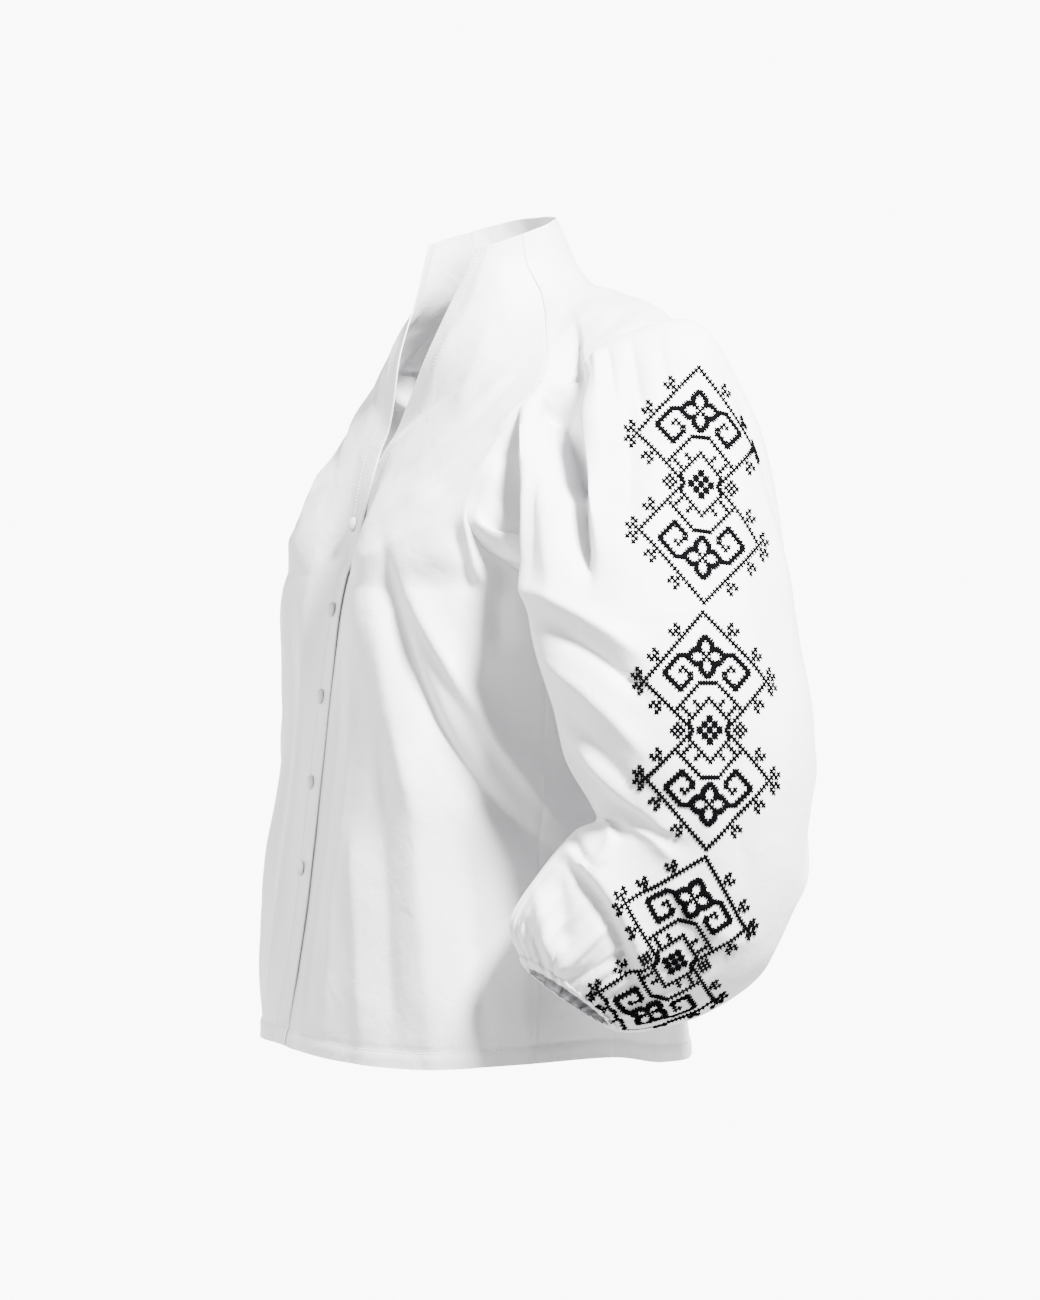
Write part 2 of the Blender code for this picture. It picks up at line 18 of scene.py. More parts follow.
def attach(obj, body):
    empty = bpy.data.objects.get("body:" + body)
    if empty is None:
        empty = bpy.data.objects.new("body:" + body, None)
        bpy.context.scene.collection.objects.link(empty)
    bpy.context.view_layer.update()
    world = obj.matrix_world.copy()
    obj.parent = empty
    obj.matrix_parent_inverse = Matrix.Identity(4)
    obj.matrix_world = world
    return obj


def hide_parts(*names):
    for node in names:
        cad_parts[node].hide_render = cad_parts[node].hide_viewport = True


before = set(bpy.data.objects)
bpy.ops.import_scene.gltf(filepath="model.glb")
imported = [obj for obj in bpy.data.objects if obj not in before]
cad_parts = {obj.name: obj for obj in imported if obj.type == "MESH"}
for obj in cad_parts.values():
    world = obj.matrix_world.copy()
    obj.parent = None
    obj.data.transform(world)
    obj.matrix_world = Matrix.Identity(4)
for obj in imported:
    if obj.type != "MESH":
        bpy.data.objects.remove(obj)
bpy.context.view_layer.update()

MM = 0.001
ENDS = ("left", "right")
HEMMED = ("front_left", "front_right", "side_left", "side_right", "back")
log = logging.getLogger("blouse")


class Side(Enum):
    """Side of the wearer, with the sign of X there."""

    LEFT = 1
    RIGHT = -1


class Held(Enum):
    """How a cut piece of cloth is held."""

    HUNG = "hung"
    GATHERED = "gathered"


class Edge(Enum):
    """Edge of a grid of cloth, with the index that reads it."""

    FIRST_COLUMN = np.s_[:, 0]
    LAST_COLUMN = np.s_[:, -1]
    FIRST_ROW = np.s_[0]
    LAST_ROW = np.s_[-1]


ROW_EDGES = (Edge.FIRST_ROW, Edge.LAST_ROW)
COLUMN_EDGES = (Edge.FIRST_COLUMN, Edge.LAST_COLUMN)


# Curves


def hermite(start: Any, end: Any, leave: Any, arrive: Any, t: Any) -> Any:
    """Value a share t along the cubic curve with the slopes leave and arrive at its ends."""
    return (start * (2 * t ** 3 - 3 * t ** 2 + 1) + end * (3 * t ** 2 - 2 * t ** 3)
            + leave * (t ** 3 - 2 * t ** 2 + t) + arrive * (t ** 3 - t ** 2))


def smooth(knots: Sequence[float], values: Any, places: Any) -> np.ndarray:
    """Smooth curve through values at knots.

    Args:
        knots: Rising places of the values.
        values: One number or point for each knot.
        places: Where the curve is read, in an array of any shape.

    Returns:
        The values there, in an array of the shape of places, then that of one value.
    """
    knots = np.asarray(knots, float)
    values = np.asarray(values, float)
    places = np.clip(np.asarray(places, float), knots[0], knots[-1])
    spread = (1,) * (values.ndim - 1)
    before = np.maximum(np.arange(len(knots)) - 1, 0)
    after = np.minimum(np.arange(len(knots)) + 1, len(knots) - 1)
    slopes = (values[after] - values[before]) / (knots[after] - knots[before]).reshape(-1, *spread)
    index = np.clip(np.searchsorted(knots, places) - 1, 0, len(knots) - 2)
    width = knots[index + 1] - knots[index]
    t = ((places - knots[index]) / width).reshape(*places.shape, *spread)
    width = width.reshape(*places.shape, *spread)
    return hermite(values[index], values[index + 1], slopes[index] * width,
                   slopes[index + 1] * width, t)


def ease(value: Any) -> Any:
    """Smooth step from 0 to 1."""
    value = np.clip(value, 0.0, 1.0)
    return value * value * (3 - 2 * value)


def lerp(start: Any, end: Any, share: Any) -> Any:
    """Value a share of the way from start to end."""
    return start + (end - start) * share


def even(count: int) -> np.ndarray:
    """Even shares from 0 to 1, one more than count."""
    return np.arange(count + 1) / count


def unit(vectors: np.ndarray) -> np.ndarray:
    """The same directions with length 1."""
    lengths = np.linalg.norm(vectors, axis=-1, keepdims=True)
    return vectors / np.maximum(lengths, 1e-9)


def mirrored(points: np.ndarray) -> np.ndarray:
    """Points on the other side of the wearer."""
    return points * np.array([-1.0, 1.0, 1.0])


def read_line(line: np.ndarray, far: np.ndarray, places: Any) -> np.ndarray:
    """Points of a line at places along it, far being how far along each of its own lies."""
    return np.stack([np.interp(places, far, line[:, k]) for k in range(3)], axis=-1)


def grid_normals(grid: np.ndarray, around: bool = False) -> np.ndarray:
    """Normals of a grid of points, turned to columns crossed with rows.

    Args:
        grid: Rows of points.
        around: Whether the last column meets the first.

    Returns:
        One unit normal for each point.
    """
    if around:
        across = np.roll(grid, -1, axis=1) - np.roll(grid, 1, axis=1)
    else:
        across = np.gradient(grid, axis=1)
    return unit(np.cross(across, np.gradient(grid, axis=0)))


# Folds


class Fold(NamedTuple):
    """Fold on an elevation: its two ends, the bow of its middle, its reaches and its rise.

    Right and left are those of one who walks from the first end to the second, and the
    bow is to the right.
    """

    across_1: float
    z_1: float
    across_2: float
    z_2: float
    bow: float
    right: float
    left: float
    rise: float


@dataclass(frozen=True)
class Elevation:
    """Folds set out as seen from one side.

    Attributes:
        turn: Degrees that the view is turned from the front to the wearer's left.
        both: Whether the folds are repeated on the other side of the wearer.
        folds: The folds there.
        past: How far a fold runs on past each end, as a share of its length.
        fade: Length over which it fades at each end, as a share too.
        gain: How soon a fold comes in where the cloth turns towards the view.
        roundness: Power of a fold's profile, sharper when lower.
    """

    turn: float
    both: bool
    folds: tuple[Fold, ...]
    past: float = 0.2
    fade: float = 0.4
    gain: float = 2.2
    roundness: float = 1.5

    def rise(self, points: np.ndarray, normals: np.ndarray) -> np.ndarray:
        """How far the folds raise the cloth at points with these outward normals."""
        turn = math.radians(self.turn)
        side = np.where(points[..., 0] < 0, -1.0, 1.0) if self.both else 1.0
        facing = normals[..., 0] * side * math.sin(turn) - normals[..., 1] * math.cos(turn)
        across = points[..., 0] * side * math.cos(turn) + points[..., 1] * math.sin(turn)
        total = np.zeros(points.shape[:-1])
        for fold in self.folds:
            total += self.share(fold, across, points[..., 2])
        return total * ease(facing * self.gain)

    def share(self, fold: Fold, across: np.ndarray, z: np.ndarray) -> np.ndarray:
        """Rise of one fold at places on the elevation."""
        run = np.array([fold.across_2 - fold.across_1, fold.z_2 - fold.z_1], float)
        length = float(np.hypot(*run))
        run /= length
        along = ((across - fold.across_1) * run[0] + (z - fold.z_1) * run[1]) / length
        off = (across - fold.across_1) * -run[1] + (z - fold.z_1) * run[0]
        off = -off - fold.bow * 4 * along * (1 - along)
        reach = np.where(off > 0, fold.right, fold.left)
        ends = ease((along + self.past) / self.fade) * ease((1 + self.past - along) / self.fade)
        return fold.rise * np.exp(-np.abs(off / reach) ** self.roundness) * ends


BODY_QUARTER = Elevation(70, True, (
    # Long drape from the bust to the side, a trough between two ridges
    Fold(-101, -222, 27, -436, 25, 14, 7, -12.0),
    Fold(-82, -240, 27, -409, 5, 5, 11, 9.0),
    Fold(-111, -245, -78, -401, 2, 13, 10, 6.0),
    # Soft upright folds of the skirt
    Fold(-109, -362, -97, -576, 0, 12, 12, -5.0),
    Fold(-80, -380, -64, -600, 0, 14, 18, 5.0),
    Fold(-127, -430, -120, -590, 0, 8, 8, 3.5),
    Fold(-36, -430, -24, -600, 0, 13, 13, -4.0),
    Fold(2, -480, 12, -600, 0, 12, 14, 3.5),
    # Drag lines from the yoke corner to the first button
    Fold(14, -84, -88, -168, -4, 4, 4, 3.0),
    Fold(-13, -112, -66, -160, 0, 6, 7, -4.5),
    Fold(-6, -72, -84, -142, 0, 5, 5, 3.0),
    Fold(2, -70, -96, -152, -4, 6, 5, -2.5),
    Fold(-18, -60, -106, -136, 0, 5, 5, 2.2),
    Fold(-30, -70, -104, -128, 0, 5, 5, -2.0),
    Fold(-66, -156, -118, -192, 0, 5, 5, 1.6),
    Fold(-66, -184, -120, -212, 0, 6, 6, 1.6),
    # Fullness beside the armhole
    Fold(-37, -172, -24, -232, 4, 7, 6, 6.0),
    Fold(-46, -190, -34, -236, 0, 6, 6, -3.0),
    Fold(-12, -205, -12, -280, 0, 10, 10, -6.0),
    # Light wedge up the collar
    Fold(-20, -34, -44, -96, 0, 8, 8, 2.0),
))

BODY_FRONT = Elevation(0, False, (
    Fold(-44, -215, -52, -560, 0, 9, 9, 2.6),
    Fold(-72, -260, -80, -590, 0, 12, 12, -3.0),
    Fold(-104, -300, -118, -590, 0, 14, 14, 3.0),
    Fold(40, -250, 46, -590, 0, 10, 10, -2.2),
    Fold(70, -300, 82, -600, 0, 12, 12, 2.4),
))

BODY_BACK = Elevation(180, False, (
    Fold(-20, -118, -34, -560, 0, 14, 16, 5.0),
    Fold(20, -118, 34, -560, 0, 16, 14, 5.0),
    Fold(0, -112, 0, -590, 0, 13, 13, -5.5),
    Fold(-80, -180, -92, -590, 0, 18, 18, -4.0),
    Fold(84, -190, 96, -590, 0, 18, 18, -4.0),
    Fold(-140, -215, -70, -330, -8, 11, 11, 4.0),
    Fold(142, -215, 74, -320, 8, 11, 11, 4.0),
    Fold(-130, -320, -132, -590, 0, 16, 16, 3.5),
    Fold(132, -330, 136, -590, 0, 16, 16, 3.5),
))

YOKE_QUARTER = Elevation(70, True, (
    Fold(68, -12, 26, -50, 0, 4, 4, 1.6),
    Fold(58, -6, 18, -38, 0, 3, 4, -1.4),
    Fold(86, -22, 40, -58, 0, 4, 4, -1.5),
    Fold(100, -22, 52, -66, 0, 5, 5, 1.5),
    Fold(44, 20, 40, -16, 0, 4, 4, -1.2),
))

SLEEVE_QUARTER = Elevation(70, True, (
    # Deep pleat under the yoke: a hollow with a sharp edge, and bright cloth on both sides
    Fold(36, -78, 46, -150, 0, 21, 9, -27.0),
    Fold(46, -100, 56, -212, 0, 11, 4, -18.0),
    Fold(18, -86, 50, -84, 0, 12, 4, -10.0),
    Fold(41, -84, 20, -103, 0, 3, 3, 3.5),
    Fold(61, -80, 62, -196, 0, 4, 11, 13.0),
    Fold(16, -112, 28, -230, 0, 8, 10, 6.0),
    Fold(90, -60, 87, -186, 0, 12, 12, -5.0),
    # Crease between the seam and the front of the sleeve
    Fold(-4, -100, -7, -235, 0, 14, 5, -24.0),
    Fold(5, -92, 7, -250, 0, 4, 8, 8.0),
    # Pleats at the top of the head
    Fold(62, -48, 66, -88, 0, 3, 5, 4.0),
    Fold(72, -50, 77, -92, 0, 3, 3, -3.0),
    Fold(90, -46, 99, -98, 0, 3, 4, -3.0),
    Fold(112, -44, 120, -92, 0, 4, 4, -1.8),
    # Folds that fan out from the front of the upper arm
    Fold(14, -232, 92, -276, -4, 7, 9, 8.0),
    Fold(17, -254, 94, -304, -4, 8, 8, -8.0),
    Fold(24, -284, 97, -350, -4, 9, 9, 6.5),
    Fold(24, -316, 90, -384, -4, 8, 8, -5.5),
    # Creases at the bend of the elbow
    Fold(36, -352, 103, -404, 10, 8, 7, -6.5),
    Fold(50, -352, 124, -412, 4, 7, 9, 6.5),
    Fold(54, -392, 122, -434, -6, 8, 8, 6.0),
    Fold(46, -406, 60, -440, 6, 4, 4, -6.0),
    Fold(70, -402, 64, -440, -6, 5, 4, 5.0),
    # Fold edge over the forearm, and facets below it
    Fold(47, -433, 98, -520, -8, 5, 16, 8.0),
    Fold(39, -440, 86, -520, -8, 7, 5, -6.0),
    Fold(31, -524, 72, -484, 0, 4, 4, 4.0),
    Fold(40, -530, 84, -505, 0, 4, 4, -3.5),
    Fold(18, -462, 29, -514, 0, 6, 6, 5.0),
    Fold(33, -450, 38, -500, 0, 7, 7, -5.0),
    Fold(5, -482, 20, -516, 0, 5, 5, -4.0),
    # Soft folds of the outer cloth
    Fold(168, -150, 182, -300, 0, 14, 14, 3.5),
    Fold(160, -330, 176, -450, 0, 12, 12, -3.5),
    Fold(120, -452, 176, -500, 6, 10, 10, 3.0),
))

SLEEVE_FRONT = Elevation(5, True, (
    # Hollow between the armhole seam and the bulge of the upper sleeve
    Fold(178, -148, 208, -228, 0, 17, 17, -17.0),
    Fold(186, -225, 214, -300, 0, 14, 14, -5.0),
))

SLEEVE_BACK = Elevation(165, True, (
    Fold(-196, -70, -214, -210, 0, 10, 8, -6.0),
    Fold(-222, -90, -240, -230, 0, 9, 10, 4.0),
    Fold(-180, -90, -190, -220, 0, 9, 9, 4.0),
    Fold(-170, -300, -240, -390, 8, 11, 11, 4.5),
    Fold(-175, -345, -255, -440, 8, 10, 10, -5.0),
    Fold(-190, -390, -262, -470, 8, 10, 10, 4.5),
    Fold(-185, -450, -250, -510, 8, 8, 8, -4.0),
    Fold(-290, -230, -300, -380, 0, 16, 16, 3.0),
))

SLEEVE_INNER = Elevation(-60, True, (
    Fold(-130, -260, -118, -380, 0, 12, 12, 4.0),
    Fold(-160, -300, -150, -430, 0, 12, 12, -4.0),
    Fold(-100, -400, -130, -470, 0, 9, 9, -4.0),
    Fold(-96, -430, -150, -500, 0, 9, 9, 4.0),
))


@dataclass(frozen=True)
class Crumple:
    """Uneven small wrinkles of worn cotton, as depths at two wavelengths."""

    depth: float = 1.3
    wave: float = 64.0
    fine_depth: float = 0.5
    fine_wave: float = 23.0
    stretch: float = 0.45

    def rise(self, points: np.ndarray) -> np.ndarray:
        """Rise of the wrinkles at points, longer upright than across."""
        squeezed = points * np.array([1.0, 1.0, self.stretch])
        flat = squeezed.reshape(-1, 3)
        broad = [noise.noise(Vector(p) / self.wave) for p in flat]
        fine = [noise.noise(Vector(p) / self.fine_wave) for p in flat]
        total = self.depth * np.array(broad) + self.fine_depth * np.array(fine)
        return total.reshape(points.shape[:-1])


def raised(grid: np.ndarray, normals: np.ndarray, elevations: Sequence[Elevation],
           fade: Any = 1.0) -> np.ndarray:
    """Grid raised along its outward normals into folds and small wrinkles.

    Args:
        grid: Rows of points.
        normals: Outward normals.
        elevations: Elevations that the folds are set out on.
        fade: Share of the rise, for all or for each point.

    Returns:
        The grid of moved points.
    """
    rise = Crumple().rise(grid)
    for elevation in elevations:
        rise = rise + elevation.rise(grid, normals)
    return grid + normals * (rise * fade)[..., None]


# Form of the body, the same sections as the solids


class Level(NamedTuple):
    """Section of the body: half width, front, widest place, back, and how square it is."""

    z: float
    half_width: float
    front_y: float
    widest_y: float
    back_y: float
    front_power: float
    back_power: float


class Net(NamedTuple):
    """Row of control points across a piece, at a knot of its way up."""

    knot: float
    points: tuple[tuple[float, float, float], ...]


BODY_LEVELS = (
    Level(-606, 200, -203, -39, 136, 2.0, 2.0),
    Level(-530, 193, -189, -37, 123, 2.6, 2.1),
    Level(-440, 184, -177, -35, 111, 3.1, 2.2),
    Level(-340, 176, -164, -32, 102, 3.2, 2.3),
    Level(-260, 172, -153, -30, 98, 2.9, 2.4),
    Level(-200, 169, -138, -28, 97, 2.6, 2.5),
    Level(-150, 164, -122, -22, 98, 2.4, 2.5),
)
HEM_DROPS = ((0, -4), (50, 2), (84, -4), (107, -5), (125, 4), (180, 14))

FRONT_ARMHOLE = (
    Net(0.30, ((-20, -142, -214), (78, -161, -208), (147, -126, -207), (169, -82, -207))),
    Net(0.52, ((-20, -136, -190), (74, -148, -181), (139, -124, -177), (166, -98, -175))),
    Net(0.76, ((-4, -120, -150), (62, -123, -142), (125, -106, -133), (166, -82, -128))),
    Net(1.00, ((12, -101, -110), (64, -97, -101), (122, -77, -90), (165, -40, -76))),
)
FRONT_NECK = (
    Net(0.39, ((31, -86, -59), (62, -82, -54), (98, -58, -46), (118, -18, -35))),
    Net(0.70, ((43, -69, -15), (63, -57, -13), (77, -33, -10), (76, -6, -8))),
    Net(0.87, ((52, -60, 8), (63, -50, 10), (67, -33, 13), (62, -13, 16))),
    Net(1.00, ((58, -53, 28), (64, -44, 30), (65, -31, 34), (60, -16, 38))),
)
BACK_ARMHOLE = (
    Net(0.28, ((164, 54, -202), (130, 86, -200), (64, 97, -198), (0, 98, -198))),
    Net(0.60, ((167, 76, -150), (128, 94, -150), (62, 100, -152), (0, 100, -154))),
    Net(1.00, ((178, 90, -85), (125, 97, -90), (62, 98, -97), (0, 97, -100))),
)
# Ribs of the yoke, from its outer edge to the top of the collar, at places along that edge
YOKE_RIBS = (
    Net(0, ((165, -40, -76), (118, -18, -35), (76, -6, -8), (62, -13, 16), (60, -16, 38))),
    Net(4, ((175, -8, -75), (127, 2, -31), (83, 5, -8), (63, 1, 13), (57, -4, 42))),
    Net(6, ((182, -8, -58), (131, 8, -27), (84, 10, -7), (62, 6, 12), (55, 0, 43))),
    Net(10, ((190, 24, -38), (138, 28, -19), (84, 24, -7), (57, 17, 9), (49, 10, 46))),
    Net(14, ((190, 68, -34), (134, 66, -16), (75, 54, -5), (44, 36, 6), (36, 20, 49))),
    Net(17, ((178, 90, -85), (125, 87, -46), (62, 72, -16), (28, 48, 4), (22, 27, 50))),
    Net(20, ((92, 98, -96), (65, 92, -58), (34, 79, -22), (14, 54, 3), (11, 30, 51))),
    Net(23, ((0, 97, -100), (0, 92, -60), (0, 80, -24), (0, 57, 2), (0, 31, 51))),
)


@dataclass
class BodyForm:
    """Form of the fronts, side panels, back and yoke, each as a grid of points.

    Rows run from the hem up. Columns run from the centre front round to the centre back.
    """

    hem_z: float = -606.0
    underarm_z: float = -235.0
    lap_reach: float = 20.0
    lap_step: float = 1.5
    lap_ease: float = 18.0
    lap_top: float = -95.0
    lap_fade: float = 45.0
    # Share of the lap that is compared, and how many places across and heights are read
    lap_compared: float = 0.9
    lap_places: int = 10
    lap_heights: int = 90
    bust: tuple[float, float] = (92.0, -235.0)
    bust_rise: float = 22.0
    bust_half_width: float = 52.0
    bust_reach_up: float = 60.0
    bust_reach_down: float = 75.0
    front_seam: tuple[float, float] = (84.0, 88.0)
    side_seam: tuple[float, float] = (107.0, 113.0)
    centre_back: tuple[float, float] = (180.0, 180.0)
    front_shares: tuple[float, ...] = (0.0, 0.143, 0.333, 0.667, 1.0)
    back_shares: tuple[float, ...] = (0.0, 0.333, 0.667, 1.0)
    skirt_share: float = 0.8
    skirt_knot: float = -0.7
    net_blend: float = 0.45
    front_columns: int = 84
    side_columns: int = 24
    back_columns: int = 60
    skirt_rows: int = 128
    armhole_rows: int = 56
    neck_rows: int = 56
    back_rows: int = 56
    yoke_front: int = 20
    yoke_shoulder: int = 80
    # Places along the yoke's outer edge where its front and shoulder stretches end
    yoke_corner: float = 4.0
    yoke_back: float = 17.0
    yoke_centre: float = 23.0
    yoke_blend: float = 0.12

    def level(self, z: np.ndarray) -> np.ndarray:
        """Sizes of the section at heights."""
        table = np.array(BODY_LEVELS, float)
        return smooth(table[:, 0], table[:, 1:], z)

    def point(self, angle: np.ndarray, z: np.ndarray) -> np.ndarray:
        """Points of the left half, the angle in degrees from the centre front."""
        half_width, front_y, widest_y, back_y, front_power, back_power = np.moveaxis(
            self.level(z), -1, 0)
        side = np.sin(np.radians(angle))
        front = np.cos(np.radians(angle))
        power = np.where(front > 0, front_power, back_power)
        radius = (np.abs(side) ** power + np.abs(front) ** power) ** (-1 / power)
        reach = np.where(front > 0, front_y, back_y)
        x = half_width * side * radius
        y = widest_y + (reach - widest_y) * np.abs(front) * radius
        high = np.where(z > self.bust[1], self.bust_reach_up, self.bust_reach_down)
        off = (np.abs(x) - self.bust[0]) / self.bust_half_width
        bust = self.bust_rise * np.exp(-off ** 2 - ((z - self.bust[1]) / high) ** 2)
        return np.stack([x, y - np.where(front > 0, bust, 0.0), z + x * 0], axis=-1)

    def skirt(self, shares: np.ndarray, starts: tuple[float, float], ends: tuple[float, float],
              across: Sequence[float]) -> np.ndarray:
        """Rows of points from the hem to the underarm.

        Args:
            shares: Shares of the way up.
            starts: Angle of the first column at the hem and at the underarm.
            ends: Angle of the last column there.
            across: Shares of the way across.

        Returns:
            Rows of points.
        """
        shares = np.asarray(shares, float)[:, None]
        start = lerp(*starts, shares)
        angle = lerp(start, lerp(*ends, shares), np.asarray(across)[None, :])
        drops = np.array(HEM_DROPS, float)
        hem = self.hem_z - smooth(drops[:, 0], drops[:, 1], np.clip(angle, 0, 180))
        return self.point(angle, lerp(hem, self.underarm_z, shares))

    def net(self, knots: Sequence[float], rows: Sequence[np.ndarray], places: np.ndarray,
            across: Sequence[float], columns: int) -> np.ndarray:
        """Rows of points over a net of control rows, at places up it."""
        controls = smooth(knots, np.array(rows), places)
        return smooth(across, np.swapaxes(controls, 0, 1), even(columns)).swapaxes(0, 1)

    def above(self, skirt: np.ndarray, lead: np.ndarray, nets: Sequence[Net],
              controls: Sequence[np.ndarray], shares: Sequence[float],
              places: np.ndarray) -> np.ndarray:
        """Skirt with the rows of a net set on top, eased in so that it has no step.

        Args:
            skirt: Rows from the hem to the underarm.
            lead: Two control rows of the skirt that lead into the net.
            nets: Rows of the net, for their knots.
            controls: Control points of those rows.
            shares: Places of the control points across the piece.
            places: Places up the net, above 0.

        Returns:
            All rows.
        """
        knots = [self.skirt_knot, 0.0] + [row.knot for row in nets]
        rows = [*lead, *controls]
        columns = skirt.shape[1] - 1
        upper = self.net(knots, rows, places, shares, columns)
        start = self.net(knots, rows, np.array([0.0]), shares, columns)
        blend = 1 - ease(places / self.net_blend)
        upper = upper + (skirt[-1:] - start) * blend[:, None, None]
        return np.concatenate([skirt, upper])

    def front_controls(self, row: Net) -> np.ndarray:
        """Control points across the front, even on both sides of the centre where it laps."""
        edge, inner, outer, seam = np.array(row.points, float)
        beside = lerp(edge, inner, self.front_shares[1] / self.front_shares[2])
        if edge[0] <= -self.lap_reach:
            beside = mirrored(edge)
        return np.array([edge, beside, inner, outer, seam])

    def front(self) -> np.ndarray:
        """Left front, from its edge past the centre to the side panel and the armhole."""
        half_widths = self.level(np.array([self.hem_z, self.underarm_z]))[:, 0]
        starts = tuple(-np.degrees(self.lap_reach / half_widths))
        skirt = self.skirt(even(self.skirt_rows), starts, self.front_seam,
                           even(self.front_columns))
        lead = self.skirt([self.skirt_share, 1.0], starts, self.front_seam, self.front_shares)
        nets = list(FRONT_ARMHOLE) + [Net(1 + row.knot, row.points) for row in FRONT_NECK]
        places = np.concatenate([even(self.armhole_rows)[1:], 1 + even(self.neck_rows)[1:]])
        return self.above(skirt, lead, nets, [self.front_controls(row) for row in nets],
                          self.front_shares, places)

    def side(self) -> np.ndarray:
        """Left side panel."""
        return self.skirt(even(self.skirt_rows), self.front_seam, self.side_seam,
                          even(self.side_columns))

    def back(self) -> np.ndarray:
        """Left half of the back."""
        skirt = self.skirt(even(self.skirt_rows), self.side_seam, self.centre_back,
                           even(self.back_columns))
        lead = self.skirt([self.skirt_share, 1.0], self.side_seam, self.centre_back,
                          self.back_shares)
        controls = [np.array(row.points, float) for row in BACK_ARMHOLE]
        return self.above(skirt, lead, BACK_ARMHOLE, controls, self.back_shares,
                          even(self.back_rows)[1:])

    def yoke(self, front: np.ndarray, back: np.ndarray) -> np.ndarray:
        """Left half of the yoke, rows along its outer edge, columns up to the collar top.

        Args:
            front: Finished left front, whose neck seam it joins.
            back: Finished left half of the back, whose top it joins.

        Returns:
            Rows of points, one for each rib.
        """
        places = np.concatenate([
            even(self.yoke_front) * self.yoke_corner,
            lerp(self.yoke_corner, self.yoke_back, even(self.yoke_shoulder)[1:]),
            lerp(self.yoke_back, self.yoke_centre, even(self.back_columns)[1:])])
        ribs = smooth([rib.knot for rib in YOKE_RIBS], [rib.points for rib in YOKE_RIBS], places)
        knots = [0.0] + [row.knot for row in FRONT_NECK]
        grid = smooth(knots, ribs.swapaxes(0, 1), even(self.neck_rows)).swapaxes(0, 1)
        normals = -grid_normals(grid)
        along = even(len(grid) - 1)[:, None]
        up = even(self.neck_rows)[None, :]
        fade = ease(along / self.yoke_blend) * ease(up / self.yoke_blend)
        grid = raised(grid, normals, [YOKE_QUARTER], fade)
        seam = front[self.skirt_rows + self.armhole_rows:, -1] - grid[0]
        grid = grid + seam[None] * (1 - ease(along / self.yoke_blend))[..., None]
        top = self.yoke_front + self.yoke_shoulder
        edge = back[-1] - grid[top:, 0]
        grid[top:] += edge[:, None] * (1 - ease(up / self.yoke_blend))[..., None]
        return grid

    def lap_shift(self, front: np.ndarray, heights: np.ndarray) -> np.ndarray:
        """How far back the left front lies at heights, to stay behind the right front."""
        gaps = np.zeros(len(heights))
        for x in np.linspace(0, self.lap_reach * self.lap_compared, self.lap_places):
            sides = []
            for place in (x, -x):
                rows = [k for k in range(len(front)) if front[k, 0, 0] <= place]
                y = [np.interp(place, front[k, :, 0], front[k, :, 1]) for k in rows]
                z = [np.interp(place, front[k, :, 0], front[k, :, 2]) for k in rows]
                level = np.interp(heights, z, y)
                sides.append(np.where(heights > max(z), np.nan, level))
            gap = np.abs(sides[1] - sides[0])
            gaps = np.fmax(gaps, np.nan_to_num(gap))
        return self.lap_step + gaps

    def lapped(self, front: np.ndarray) -> np.ndarray:
        """Left front, set back where the right front lies over it."""
        share = ease((self.lap_reach + self.lap_ease - front[..., 0]) / self.lap_ease)
        share = share * ease((self.lap_top - front[..., 2]) / self.lap_fade)
        heights = np.linspace(front[..., 2].min(), self.lap_top, self.lap_heights)
        shift = np.interp(front[..., 2], heights, self.lap_shift(front, heights))
        moved = front.copy()
        moved[..., 1] += share * shift
        return moved


# Form of the sleeves


class Section(NamedTuple):
    """Section of the sleeve: its front and back points, and its middle and half breadth."""

    front_y: float
    front_z: float
    back_y: float
    back_z: float
    middle_x: float
    half_x: float


SLEEVE_SECTIONS = (
    Section(-78, -246, 136, -249, 250, 70),
    Section(-74, -278, 138, -283, 258, 74),
    Section(-62, -321, 143, -322, 266, 77),
    Section(-52, -364, 143, -371, 271, 78),
    Section(-33, -395, 138, -416, 272, 76),
    Section(-28, -408, 131, -466, 271, 72),
    Section(-44, -415, 105, -528, 266, 66),
    Section(-66, -442, 59, -561, 258, 58),
    Section(-90, -484, 17, -572, 250, 47),
    Section(-81, -513, -8, -572, 246, 38),
    Section(-77, -522, -14, -569, 245, 36),
)
HEAD_SWELLS = {
    Side.LEFT: ((-65, 5), (0, 15), (45, 45), (95, 42), (150, 160), (200, 85), (270, 5), (295, 5)),
    Side.RIGHT: ((-65, 5), (0, 55), (45, 85), (95, 42), (150, 160), (200, 85), (270, 5), (295, 5)),
}


